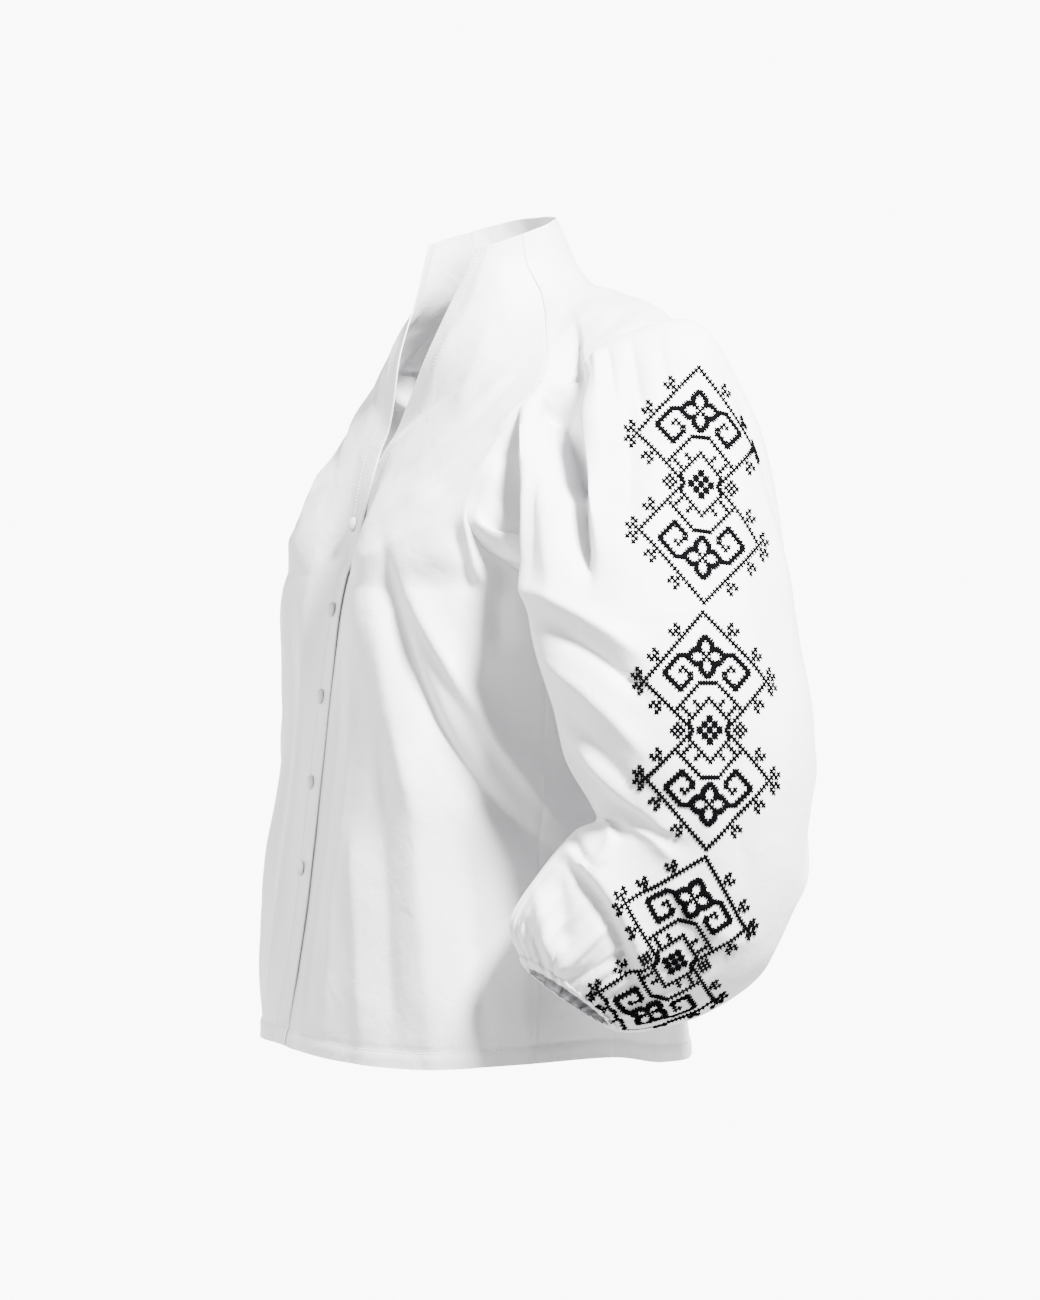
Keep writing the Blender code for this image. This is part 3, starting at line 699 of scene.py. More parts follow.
@dataclass
class SleeveForm:
    """Form of a balloon sleeve and its cuff, worked out on the wearer's left side."""

    start_angle: float = -65.0
    head_reach: float = 85.0
    head_aim: tuple[float, float] = (0.5, 2.2)
    head_rings: int = 50
    arm_rings: int = 84
    gathered_rings: int = 44
    arm_end: float = 5.8
    wrist: float = 9.0
    cuff_end: float = 10.0
    cuff_rings: int = 9
    gathers: int = 23
    gather_rise: float = 2.4
    cuff_gathers: int = 31
    cuff_rise: float = 1.1
    fold_start: float = 0.03

    def point(self, station: Any, angle: Any) -> np.ndarray:
        """Points at stations and angles, in degrees from the front over the outer side."""
        table = np.array(SLEEVE_SECTIONS, float)
        station, angle = np.broadcast_arrays(np.asarray(station, float), angle)
        row = smooth(np.arange(len(table)), table, station)
        front = np.stack([row[..., 4], row[..., 0], row[..., 1]], axis=-1)
        back = np.stack([row[..., 4], row[..., 2], row[..., 3]], axis=-1)
        turn = np.radians(angle)[..., None]
        breadth = row[..., 5:6] * np.sin(turn) * np.array([1.0, 0.0, 0.0])
        return (front + back) / 2 - (back - front) / 2 * np.cos(turn) + breadth

    def angles(self, body: BodyForm) -> np.ndarray:
        """Angle of each column, even over the armhole's stretches as in the solids."""
        steps = ((7, body.armhole_rows), (4, body.yoke_front), (13, body.yoke_shoulder),
                 (8, body.back_rows), (4, body.side_columns))
        places = [0.0]
        for width, count in steps:
            places.extend(places[-1] + width * even(count)[1:])
        total = places.pop()
        return self.start_angle + 360.0 * np.array(places) / total

    def head(self, armhole: np.ndarray, angles: np.ndarray, side: Side) -> np.ndarray:
        """Rings from the armhole to the first section."""
        weights = np.diff(np.append(angles, angles[0] + 360))
        centre = (armhole * weights[:, None]).sum(axis=0) / weights.sum()
        swells = np.array(HEAD_SWELLS[side], float)
        end = self.point(0.0, angles)
        arrive = (self.point(self.head_aim[0], angles) - end) * self.head_aim[1]
        out = unit((armhole - centre) * np.array([0.0, 1.0, 1.0]))
        leave = out * smooth(swells[:, 0], swells[:, 1], angles)[:, None]
        leave = leave + np.array([self.head_reach, 0.0, 0.0])
        shares = even(self.head_rings)[:-1, None, None]
        return hermite(armhole, end, leave, arrive, shares)

    def gathered(self, stations: np.ndarray, angles: np.ndarray) -> np.ndarray:
        """Rings with the gathers that the elastic draws in, uneven round the wrist."""
        ring = self.point(stations[:, None], angles[None, :])
        middle = (self.point(stations, 0.0) + self.point(stations, 180.0))[:, None] / 2
        turn = np.radians(angles)[None, :]
        uneven = turn * self.gathers + 1.3 * np.sin(3 * turn) + 0.7 * np.sin(7 * turn + 1)
        draw = ease((stations - self.arm_end) / (self.wrist - self.arm_end)) ** 1.5
        wave = np.cos(uneven) * (0.75 + 0.25 * np.cos(5 * turn + 2))
        fine = 0.35 * np.cos(turn * self.gathers * 2 + 2 * np.sin(4 * turn))
        rise = self.gather_rise * draw[:, None] * (wave + fine)
        return ring + unit(ring - middle) * rise[..., None]

    def sleeve(self, armhole: np.ndarray, angles: np.ndarray, side: Side) -> np.ndarray:
        """All rings of the sleeve, folded, from the armhole to the wrist."""
        stations = self.arm_end * even(self.arm_rings)[:-1]
        arm = self.point(stations[:, None], angles[None, :])
        wrist = self.gathered(lerp(self.arm_end, self.wrist, even(self.gathered_rings)), angles)
        grid = np.concatenate([self.head(armhole, angles, side), arm, wrist])
        normals = -grid_normals(grid, around=True)
        along = np.arange(len(grid)) / self.head_rings
        last = (len(grid) - 1 - np.arange(len(grid))) / self.gathered_rings
        fade = ease(along / self.fold_start) * ease(last / self.fold_start)
        elevations = [SLEEVE_QUARTER, SLEEVE_FRONT, SLEEVE_BACK, SLEEVE_INNER]
        return raised(grid, normals, elevations, fade[:, None])

    def cuff(self, wrist: np.ndarray, angles: np.ndarray) -> np.ndarray:
        """Rings of the gathered casing, from the last ring of the sleeve."""
        shares = even(self.cuff_rings)[:, None]
        turn = np.radians(angles)[None, :]
        end = self.gathered(np.array([self.cuff_end]), angles)
        ring = lerp(wrist[None], end, shares[..., None])
        middle = ring.mean(axis=1, keepdims=True)
        ruche = np.cos(turn * self.cuff_gathers + 2 * np.sin(2 * turn))
        belly = np.sin(math.pi * shares)
        rise = belly * (1.6 + self.cuff_rise * ruche)
        return ring + unit(ring - middle) * rise[..., None]


# Cloth, cut pieces and their finishes


def linear(hex_colour: str) -> tuple[float, float, float, float]:
    """Linear colour of an sRGB hex value."""
    parts = [int(hex_colour[k:k + 2], 16) / 255 for k in (1, 3, 5)]
    made = [c / 12.92 if c <= 0.04045 else ((c + 0.055) / 1.055) ** 2.4 for c in parts]
    return (*made, 1.0)


def add_node(tree: bpy.types.NodeTree, kind: str, inputs: dict[Any, Any] | None = None,
             **settings: Any) -> bpy.types.Node:
    """Adds a node with its settings and links.

    Args:
        tree: Tree that gets the node.
        kind: Type of the node.
        inputs: Value or output socket for each input, by name or number.
        **settings: Attributes of the node.

    Returns:
        The node.
    """
    node = tree.nodes.new(kind)
    for name, value in settings.items():
        setattr(node, name, value)
    for name, value in (inputs or {}).items():
        if isinstance(value, bpy.types.NodeSocket):
            tree.links.new(value, node.inputs[name])
        else:
            node.inputs[name].default_value = value
    return node


def new_material(name: str) -> tuple[bpy.types.Material, bpy.types.NodeTree, bpy.types.Node]:
    """Empty material with its tree and its Principled shader, which is linked to the output."""
    made = bpy.data.materials.new(name)
    made.use_nodes = True
    tree = made.node_tree
    tree.nodes.clear()
    shader = add_node(tree, "ShaderNodeBsdfPrincipled")
    add_node(tree, "ShaderNodeOutputMaterial", {"Surface": shader.outputs["BSDF"]})
    return made, tree, shader


def set_inputs(node: bpy.types.Node, values: dict[str, Any]) -> None:
    """Sets plain values on a node's own sockets."""
    for name, value in values.items():
        node.inputs[name].default_value = value


def mottled(tree: bpy.types.NodeTree, shader: bpy.types.Node, colours: tuple[str, str],
            scale: float, detail: float) -> tuple[bpy.types.Node, bpy.types.Node]:
    """Mixes two hex colours by noise over the object into the base colour.

    Returns:
        The nodes of the texture coordinates and of the noise.
    """
    place = add_node(tree, "ShaderNodeTexCoord")
    cloud = add_node(tree, "ShaderNodeTexNoise", {
        "Vector": place.outputs["Object"], "Scale": scale, "Detail": detail})
    tint = add_node(tree, "ShaderNodeMix", {
        "Factor": cloud.outputs["Fac"], 6: linear(colours[0]), 7: linear(colours[1])},
        data_type="RGBA")
    tree.links.new(tint.outputs[2], shader.inputs["Base Color"])
    return place, cloud


@dataclass(frozen=True)
class Poplin:
    """Bleached cotton poplin, plain woven and calendered, which gives it a soft sheen.

    Attributes:
        name: Name of the material.
        colour: Main white.
        shade: White of the slightly thinner stretches.
        roughness: Roughness of the calendered face.
        thread: Spacing of the drawn weave in millimetres. Real threads are 0.2 mm apart,
            too fine to show, so they are drawn coarser.
        weave: Depth of the weave's bump.
        crease: Spacing of the handling creases in millimetres.
        crease_depth: Depth of their bump.
    """

    name: str = "bleached_cotton_poplin"
    colour: str = "#d5d5d7"
    shade: str = "#d0d0d2"
    roughness: float = 0.58
    thread: float = 0.9
    weave: float = 0.06
    crease: float = 24.0
    crease_depth: float = 0.6

    def material(self) -> bpy.types.Material:
        """Builds the material."""
        made, tree, shader = new_material(self.name)
        set_inputs(shader, {"Roughness": self.roughness, "Sheen Weight": 0.22,
                            "Sheen Roughness": 0.4, "Specular IOR Level": 0.35,
                            "Subsurface Weight": 0.0})
        place, _ = mottled(tree, shader, (self.colour, self.shade), 9.0, 3.0)
        per_metre = 1 / (self.thread * MM)
        waves = []
        for direction in ("X", "Y"):
            waves.append(add_node(tree, "ShaderNodeTexWave", {
                "Vector": place.outputs["UV"], "Scale": per_metre / (2 * math.pi),
                "Distortion": 0.6, "Detail": 1.0}, bands_direction=direction))
        weave = add_node(tree, "ShaderNodeMath", {
            0: waves[0].outputs["Fac"], 1: waves[1].outputs["Fac"]}, operation="ADD")
        creases = add_node(tree, "ShaderNodeTexNoise", {
            "Vector": place.outputs["Object"], "Scale": 1 / (self.crease * MM), "Detail": 4.0,
            "Roughness": 0.5, "Distortion": 0.5})
        crumple = add_node(tree, "ShaderNodeBump", {
            "Strength": self.crease_depth, "Distance": 0.0022,
            "Height": creases.outputs["Fac"]})
        bump = add_node(tree, "ShaderNodeBump", {
            "Strength": self.weave, "Distance": 0.0002, "Height": weave.outputs[0],
            "Normal": crumple.outputs["Normal"]})
        tree.links.new(bump.outputs["Normal"], shader.inputs["Normal"])
        return made


@dataclass(frozen=True)
class Thread:
    """Twisted mercerised cotton thread, whose plies catch the light along the stitch.

    Attributes:
        name: Name of the material.
        colour: Colour of the plies.
        shade: Colour in the grooves between them, painted shade that the noise mixes in.
        roughness: Roughness of the thread.
        gloss: Strength of its shine.
        twist: Length of one twist in millimetres.
    """

    name: str
    colour: str
    shade: str
    roughness: float = 0.55
    gloss: float = 0.4
    twist: float = 0.5

    def material(self) -> bpy.types.Material:
        """Builds the material."""
        made, tree, shader = new_material(self.name)
        set_inputs(shader, {"Roughness": self.roughness, "Specular IOR Level": self.gloss})
        # Plies and grooves in two colours by noise: the darker groove colour is painted shade.
        _, ply = mottled(tree, shader, (self.colour, self.shade), 1 / (self.twist * MM), 2.0)
        bump = add_node(tree, "ShaderNodeBump", {
            "Strength": 0.4, "Distance": 0.0002, "Height": ply.outputs["Fac"]})
        tree.links.new(bump.outputs["Normal"], shader.inputs["Normal"])
        return made


def new_object(name: str, points: np.ndarray, faces: Sequence[Sequence[int]],
               finish: bpy.types.Material | None) -> bpy.types.Object:
    """Object in metres from points in millimetres, linked to the scene."""
    mesh = bpy.data.meshes.new(name)
    mesh.from_pydata((points.reshape(-1, 3) * MM).tolist(), [], faces)
    mesh.shade_smooth()
    if finish is not None:
        mesh.materials.append(finish)
    made = bpy.data.objects.new(name, mesh)
    bpy.context.scene.collection.objects.link(made)
    return made


class Hem(NamedTuple):
    """Turned hem: its width, how far it stands out, and its puckers' height and pitch."""

    width: float
    rise: float
    pucker: float
    pitch: float = 6.5


@dataclass
class CutPiece:
    """Piece of cloth as a grid of points of its outer face.

    Attributes:
        name: Name of the piece and of the solid that it stands for.
        grid: Rows of points.
        out: 1 where columns crossed with rows look outwards, and -1 where they look in.
        around: Whether the last column meets the first.
        flat: Width and length that the piece is cut from, in metres.
        area: Area of the cut piece, in square metres.
        held: How it is held.
        thickness: Thickness of the cloth with its turnings, in millimetres.
    """

    name: str
    grid: np.ndarray
    out: int
    around: bool
    flat: tuple[float, float]
    area: float
    held: Held
    thickness: float = 0.9

    def normals(self) -> np.ndarray:
        """Outward normals of the grid."""
        return grid_normals(self.grid, self.around) * self.out

    def quads(self) -> np.ndarray:
        """Corners of each quad of the outer face, counted over the grid."""
        rows, columns = self.grid.shape[:2]
        steps = columns if self.around else columns - 1
        row, column = np.meshgrid(np.arange(rows - 1), np.arange(steps), indexing="ij")
        following = (column + 1) % columns
        quads = np.stack([row * columns + column, row * columns + following,
                          (row + 1) * columns + following, (row + 1) * columns + column], -1)
        quads = quads.reshape(-1, 4)
        return quads if self.out > 0 else quads[:, ::-1]

    def rim(self) -> list[list[int]]:
        """Borders of the outer face, each as a loop or a line of points."""
        rows, columns = self.grid.shape[:2]
        index = np.arange(rows * columns).reshape(rows, columns)
        if self.around:
            return [[*index[0], index[0, 0]], [*index[-1, ::-1], index[-1, -1]]]
        loop = [*index[0], *index[1:, -1], *index[-1, -2::-1], *index[-2::-1, 0]]
        return [loop]

    def shell(self, finish: bpy.types.Material) -> bpy.types.Object:
        """Closed wall of cloth with its UV map in metres."""
        inner = self.grid - self.normals() * self.thickness
        count = self.grid.shape[0] * self.grid.shape[1]
        quads = self.quads()
        faces = quads.tolist() + (quads[:, ::-1] + count).tolist()
        for line in self.rim():
            for a, b in zip(line, line[1:]):
                start, end = (a, b) if self.out > 0 else (b, a)
                faces.append([int(k) for k in (start, start + count, end + count, end)])
        points = np.concatenate([self.grid.reshape(-1, 3), inner.reshape(-1, 3)])
        made = new_object(self.name + "_cloth", points, faces, finish)
        self.unwrap(made.data, count)
        made.data.set_sharp_from_angle(angle=math.radians(70))
        return made

    def unwrap(self, mesh: bpy.types.Mesh, count: int) -> None:
        """Lays the cloth's own lengths out as its UV map."""
        across = np.linalg.norm(np.diff(self.grid, axis=1), axis=-1).mean(axis=0)
        up = np.linalg.norm(np.diff(self.grid, axis=0), axis=-1).mean(axis=1)
        u = np.concatenate([[0.0], np.cumsum(across)]) * MM
        v = np.concatenate([[0.0], np.cumsum(up)]) * MM
        places = np.stack(np.meshgrid(u, v), axis=-1).reshape(-1, 2)
        corners = np.zeros(len(mesh.loops), dtype=np.int32)
        mesh.loops.foreach_get("vertex_index", corners)
        layer = mesh.uv_layers.new(name="cloth")
        layer.data.foreach_set("uv", places[corners % count].astype(np.float32).ravel())

    def declare(self, made: bpy.types.Object, with_pieces: Sequence[bpy.types.Object]) -> None:
        """Parents the piece to the root and hides the solid that it replaces."""
        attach(made, "root")
        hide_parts(self.name)

    def border_dip(self, edges: Sequence[Edge], depth: float) -> None:
        """Sinks the cloth a little along its seams, by millimetres."""
        normals = self.normals()
        for edge in edges:
            self.grid[edge.value] -= normals[edge.value] * depth

    def lengths(self, edge: Edge) -> np.ndarray:
        """Distance of each point from an edge, along the grid."""
        axis = 1 if edge in COLUMN_EDGES else 0
        steps = np.linalg.norm(np.diff(self.grid, axis=axis), axis=-1)
        start = np.zeros_like(np.take(steps, [0], axis=axis))
        sums = np.concatenate([start, np.cumsum(steps, axis=axis)], axis=axis)
        if edge in (Edge.LAST_COLUMN, Edge.LAST_ROW):
            return np.take(sums, [-1], axis=axis) - sums
        return sums

    def turned_hem(self, edge: Edge, hem: Hem) -> None:
        """Raises a turned-up hem with small puckers between its stitches."""
        normals = self.normals()
        distance = self.lengths(edge)
        along = self.lengths(Edge.FIRST_COLUMN if edge in ROW_EDGES else Edge.FIRST_ROW)
        inside = ease((hem.width + 1.5 - distance) / 3)
        wave = np.sin(2 * math.pi * along / hem.pitch + 1.7 * np.sin(along / 31) + distance * 0.12)
        groove = np.exp(-((distance - hem.width) / 2) ** 2)
        puckers = hem.pucker * wave * (0.6 + 0.4 * np.sin(along / 17))
        height = inside * (hem.rise + puckers) - groove
        self.grid = self.grid + normals * height[..., None]

    def line_at(self, edge: Edge, distance: float) -> tuple[np.ndarray, np.ndarray]:
        """Line on the cloth at a distance from an edge, with its outward normals."""
        lengths = self.lengths(edge)
        grid, normals = self.grid, self.normals()
        if edge in ROW_EDGES:
            lengths, grid, normals = lengths.T, grid.swapaxes(0, 1), normals.swapaxes(0, 1)
        points = []
        outs = []
        for far, row, out in zip(lengths, grid, normals):
            order = np.argsort(far)
            points.append(read_line(row[order], far[order], distance))
            outs.append(read_line(out[order], far[order], distance))
        return np.array(points), unit(np.array(outs))


# Stitches, made by Geometry Nodes


@dataclass
class StitchTree:
    """Geometry Nodes that set thread bars on points, along and out of the cloth."""

    name: str
    crossed: bool
    finish: bpy.types.Material
    sides: int = 5

    def build(self) -> bpy.types.NodeTree:
        """Builds the tree, with the bar's length, radius and lift as its inputs."""
        tree = bpy.data.node_groups.new(self.name, "GeometryNodeTree")
        face = tree.interface
        face.new_socket("Geometry", in_out="INPUT", socket_type="NodeSocketGeometry")
        for name in ("Length", "Radius", "Lift", "Squeeze"):
            face.new_socket(name, in_out="INPUT", socket_type="NodeSocketFloat")
        face.new_socket("Geometry", in_out="OUTPUT", socket_type="NodeSocketGeometry")
        start = add_node(tree, "NodeGroupInput")
        bar = add_node(tree, "GeometryNodeMeshCylinder", {
            "Vertices": self.sides, "Radius": start.outputs["Radius"],
            "Depth": start.outputs["Length"]}, fill_type="NGON")
        turns = (45.0, -45.0) if self.crossed else (0.0,)
        bars = [self.laid(tree, start, bar, turn, level) for level, turn in enumerate(turns)]
        join = add_node(tree, "GeometryNodeJoinGeometry")
        for made in bars:
            tree.links.new(made.outputs["Geometry"], join.inputs["Geometry"])
        squeeze = add_node(tree, "ShaderNodeCombineXYZ", {
            "X": start.outputs["Squeeze"], "Y": 1.0, "Z": 1.0})
        shaped = add_node(tree, "GeometryNodeTransform", {
            "Geometry": join.outputs["Geometry"], "Scale": squeeze.outputs["Vector"]})
        out, along = (add_node(tree, "GeometryNodeInputNamedAttribute", {"Name": name},
                               data_type="FLOAT_VECTOR") for name in ("out", "along"))
        turn = add_node(tree, "FunctionNodeAxesToRotation", {
            "Primary Axis": out.outputs["Attribute"],
            "Secondary Axis": along.outputs["Attribute"]}, primary_axis="Z", secondary_axis="X")
        placed = add_node(tree, "GeometryNodeInstanceOnPoints", {
            "Points": start.outputs["Geometry"], "Instance": shaped.outputs["Geometry"],
            "Rotation": turn.outputs["Rotation"]})
        real = add_node(tree, "GeometryNodeRealizeInstances", {
            "Geometry": placed.outputs["Instances"]})
        dressed = add_node(tree, "GeometryNodeSetMaterial", {
            "Geometry": real.outputs["Geometry"], "Material": self.finish})
        add_node(tree, "NodeGroupOutput", {"Geometry": dressed.outputs["Geometry"]})
        return tree

    def laid(self, tree: bpy.types.NodeTree, start: bpy.types.Node, bar: bpy.types.Node,
             turn: float, level: int) -> bpy.types.Node:
        """Bar laid flat along the stitch, turned by degrees and lifted over those below."""
        lift = add_node(tree, "ShaderNodeMath", {
            0: start.outputs["Lift"], 1: float(level + 1)}, operation="MULTIPLY")
        place = add_node(tree, "ShaderNodeCombineXYZ", {"Z": lift.outputs[0]})
        angles = (0.0, math.pi / 2, math.radians(turn))
        return add_node(tree, "GeometryNodeTransform", {
            "Geometry": bar.outputs["Mesh"], "Translation": place.outputs["Vector"],
            "Rotation": angles})


class Stitch(NamedTuple):
    """Place of one stitch, the way along it and the way out of the cloth."""

    place: np.ndarray
    along: np.ndarray
    out: np.ndarray


def stitched(name: str, tree: bpy.types.NodeTree, stitches: Sequence[Stitch],
             sizes: dict[str, float]) -> bpy.types.Object:
    """Mesh of thread bars on stitches.

    Args:
        name: Name of the piece.
        tree: Tree that sets the bars.
        stitches: Their places.
        sizes: Sizes of the bars in millimetres, by the tree's input names.

    Returns:
        The finished mesh object, with no modifier.
    """
    points = np.array([stitch.place for stitch in stitches])
    made = new_object(name, points, [], None)
    for key, values in (("along", [s.along for s in stitches]), ("out", [s.out for s in stitches])):
        attribute = made.data.attributes.new(key, "FLOAT_VECTOR", "POINT")
        attribute.data.foreach_set("vector", np.array(values, np.float32).ravel())
    modifier = made.modifiers.new("Stitches", "NODES")
    modifier.node_group = tree
    for item in tree.interface.items_tree:
        if item.in_out == "INPUT" and item.name in sizes:
            modifier[item.identifier] = sizes[item.name]
    graph = bpy.context.evaluated_depsgraph_get()
    mesh = bpy.data.meshes.new_from_object(made.evaluated_get(graph))
    made.modifiers.clear()
    made.data = mesh
    mesh.name = name
    mesh.shade_smooth()
    return made


@dataclass
class SeamSewing:
    """Machine stitches along edges and seams."""

    pitch: float = 3.2
    share: float = 0.66
    radius: float = 0.24
    lift: float = 0.05
    stitches: list[Stitch] = field(default_factory=list)

    def run(self, line: np.ndarray, outs: np.ndarray) -> None:
        """Adds stitches along a line on the cloth."""
        steps = np.linalg.norm(np.diff(line, axis=0), axis=-1)
        far = np.concatenate([[0.0], np.cumsum(steps)])
        count = int(far[-1] / self.pitch)
        places = (np.arange(count) + 0.5) * self.pitch
        spots = read_line(line, far, places)
        ahead = read_line(line, far, places + 0.5)
        normals = unit(read_line(outs, far, places))
        for spot, nose, out in zip(spots, ahead, normals):
            self.stitches.append(Stitch(spot, nose - spot, out))

    def build(self, name: str, tree: bpy.types.NodeTree) -> bpy.types.Object:
        """Makes the stitches as one mesh."""
        made = stitched(name, tree, self.stitches, {
            "Length": self.pitch * self.share * MM, "Radius": self.radius * MM,
            "Lift": self.lift * MM, "Squeeze": 1.0})
        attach(made, "root")
        return made


# Embroidery

Cell = tuple[float, float]


@dataclass(frozen=True)
class Motif:
    """Twin diamonds of the band, charted by rule on counted stitches.

    A cell is a stitch across from the middle and a stitch down from the top. The chart is
    drawn on its upper left quarter and mirrored.
    """

    height: int = 76
    corner: int = 22
    flower_row: float = 14.5
    petal: float = 6.5
    frame_row: int = 23
    frame_half: int = 3
    frame_steps: int = 9
    bud_row: int = 28
    knot: tuple[int, int] = (-11, 38)
    knot_reach: int = 2
    checker: float = 1.75
    block: float = 0.5

    def walk(self, corners: Sequence[Cell]) -> list[Cell]:
        """Cells of a run of straight and diagonal stretches."""
        cells = [corners[0]]
        for start, end in zip(corners, corners[1:]):
            count = int(max(abs(end[0] - start[0]), abs(end[1] - start[1])))
            cells += [(lerp(start[0], end[0], k / count), lerp(start[1], end[1], k / count))
                      for k in range(1, count + 1)]
        return cells

    def sprig(self, root: Cell, down: int) -> list[Cell]:
        """Forked sprig that grows outwards from the diamond, up or down."""
        branches = ((1, 1), (2, 2), (3, 1), (1, 3), (4, 2), (2, 4))
        return [(root[0] - a, root[1] + b * down) for a, b in branches]

    def petals(self) -> list[Cell]:
        """Left half of the four-petal flower, outlined two stitches thick."""
        inner = ((0, 0), (1, 1), (1.8, 1.9), (2.1, 2.9), (2.1, 3.8), (1.7, 4.6), (0.9, 5.3))
        outer = ((2.5, 3.3), (2.6, 4.1), (2.1, 4.9), (1.4, 5.6), (0.6, 6.2), (0, self.petal))
        cells = []
        for across, along in inner + outer:
            cells += [(-across, -along), (-across, along), (-along, -across), (-along, across)]
        return [(u, v + self.flower_row) for u, v in cells]

    def scroll(self) -> list[Cell]:
        """Ram's horn that hangs from the side petal, thick but for its tip."""
        row = int(self.flower_row)
        horn = self.walk([(-7, row), (-10, row), (-15, row + 5), (-15, row + 6),
                          (-10, row + 11), (-6.5, row + 7.5), (-6.5, row + 6)])
        thick = [(u + 0.8, v) for u, v in horn]
        tip = self.walk([(-6.5, row + 6), (-8.5, row + 4), (-9.5, row + 5)])
        return horn + thick + tip

    def quarter(self) -> list[Cell]:
        """Cells of the upper left quarter."""
        corner = self.corner
        waist = self.knot[1]
        cells = self.walk([(0, 0), (-corner, corner), (waist - 2 * corner, waist)])
        frame_start = self.frame_row + self.frame_steps
        cells += self.walk([(-self.frame_half - self.frame_steps, frame_start),
                            (-self.frame_half, self.frame_row), (0, self.frame_row)])
        bud = self.bud_row
        cells += self.walk([(0, bud), (-6, bud + 6), (-7, bud + 7), (-7, bud + 8), (-6, bud + 10)])
        cells += [(-4, bud + 2), (-5, bud + 1)]
        cells += [(-7, bud + 5), (-8, bud + 4), (-9, bud + 3)]
        for row, down in ((8, -1), (16, -1), (corner, -1), (corner, 1)):
            cells += self.sprig((-row, row), down)
        cells += self.sprig((-corner + 6, corner + 6), 1)
        reach = range(-self.knot_reach, self.knot_reach + 1)
        cells += [(self.knot[0] + a, self.knot[1] + b) for a in reach for b in reach
                  if abs(a) + abs(b) <= self.knot_reach and (a + b) % 2 == 0]
        return cells + self.petals() + self.scroll()

    def heart(self) -> list[Cell]:
        """Solid checkered flower in the middle of the unit."""
        blocks = [(a, b) for a in range(-2, 3) for b in range(-2, 3)
                  if abs(a) + abs(b) <= 2 and (a + b) % 2 == 0]
        return [(a * self.checker + i, self.height / 2 + b * self.checker + j)
                for a, b in blocks for i in (-self.block, self.block)
                for j in (-self.block, self.block)]

    def chart(self) -> list[Cell]:
        """All cells of one unit, each once."""
        found = set(self.heart())
        for u, v in self.quarter():
            for side in (u, -u):
                found.add((side, v))
                found.add((side, self.height - v))
        return sorted(found)


class BandUnit(NamedTuple):
    """Top of a unit on the quarter elevation, a point that it points to, and its pitch."""

    across: float
    z: float
    aim_across: float
    aim_z: float
    pitch: float


@dataclass
class Embroidery:
    """Band of black cross-stitch down the outside of a sleeve."""

    turn: float = 70.0
    width_pitch: float = 2.26
    reach: int = 30
    overlap: float = 1.3
    radius: float = 0.95
    lift: float = 0.12
    # How far off the cloth is looked at
    far: float = 900.0
    units: tuple[BandUnit, ...] = (
        BandUnit(142, -63, 143, -242, 2.62),
        BandUnit(143, -246, 145, -427, 2.40),
        BandUnit(145, -431, 121, -516, 2.30),
    )

    def start(self, tree: BVHTree, across: float, z: float) -> tuple[Vector, Vector]:
        """Point of the cloth that is seen at a place on the elevation, and its normal."""
        turn = math.radians(self.turn)
        view = Vector((math.sin(turn), -math.cos(turn), 0))
        right = Vector((math.cos(turn), math.sin(turn), 0))
        eye = right * across + view * self.far + Vector((0, 0, z))
        place, out, _, _ = tree.ray_cast(eye, -view)
        return place, out

    def walk(self, tree: BVHTree, place: Vector, out: Vector, ahead: Vector, pitch: float,
             count: int) -> list[tuple[Vector, Vector, Vector]]:
        """Steps over the cloth without turning, as place, normal and way ahead."""
        steps = [(place, out, ahead)]
        for _ in range(count):
            found, normal, _, _ = tree.find_nearest(place + ahead * pitch)
            out = (out + normal * 2).normalized()
            ahead = (ahead - out * ahead.dot(out)).normalized()
            place = found
            steps.append((place, out, ahead))
        return steps

    def stitches(self, piece: CutPiece, motif: Motif) -> list[Stitch]:
        """Stitches of all units on the sleeve, worked out on the wearer's left side."""
        points = piece.grid.reshape(-1, 3).tolist()
        tree = BVHTree.FromPolygons(points, piece.quads().tolist())
        cells = motif.chart()
        made = []
        for row in self.units:
            place, out = self.start(tree, row.across, row.z)
            aim, _ = self.start(tree, row.aim_across, row.aim_z)
            ahead = aim - place
            ahead = (ahead - out * ahead.dot(out)).normalized()
            net = self.net(tree, place, out, ahead, row.pitch, motif.height)
            made += [self.stitch(net, cell) for cell in cells]
        return made

    def net(self, tree: BVHTree, place: Vector, out: Vector, ahead: Vector, pitch: float,
            height: int) -> np.ndarray:
        """Places and normals of the counted stitches, rows down and columns across."""
        rows = []
        for spot, normal, way in self.walk(tree, place, out, ahead, pitch, height + 1):
            across = way.cross(normal).normalized()
            left = self.walk(tree, spot, normal, -across, self.width_pitch, self.reach)
            right = self.walk(tree, spot, normal, across, self.width_pitch, self.reach)
            line = left[:0:-1] + right
            rows.append([[*step[0], *step[1]] for step in line])
        return np.array(rows)

    def stitch(self, net: np.ndarray, cell: Cell) -> Stitch:
        """Stitch at a cell, read between the nearest places of the net."""
        column = cell[0] + self.reach
        row = min(max(cell[1], 0.0), len(net) - 1.001)
        a, b = int(column), int(row)
        low = lerp(net[b, a], net[b, a + 1], column - a)
        high = lerp(net[b + 1, a], net[b + 1, a + 1], column - a)
        spot = lerp(low, high, row - b)
        along = net[b, a + 1, :3] - net[b, a, :3]
        return Stitch(spot[:3], along, unit(spot[3:]))


# Buttons


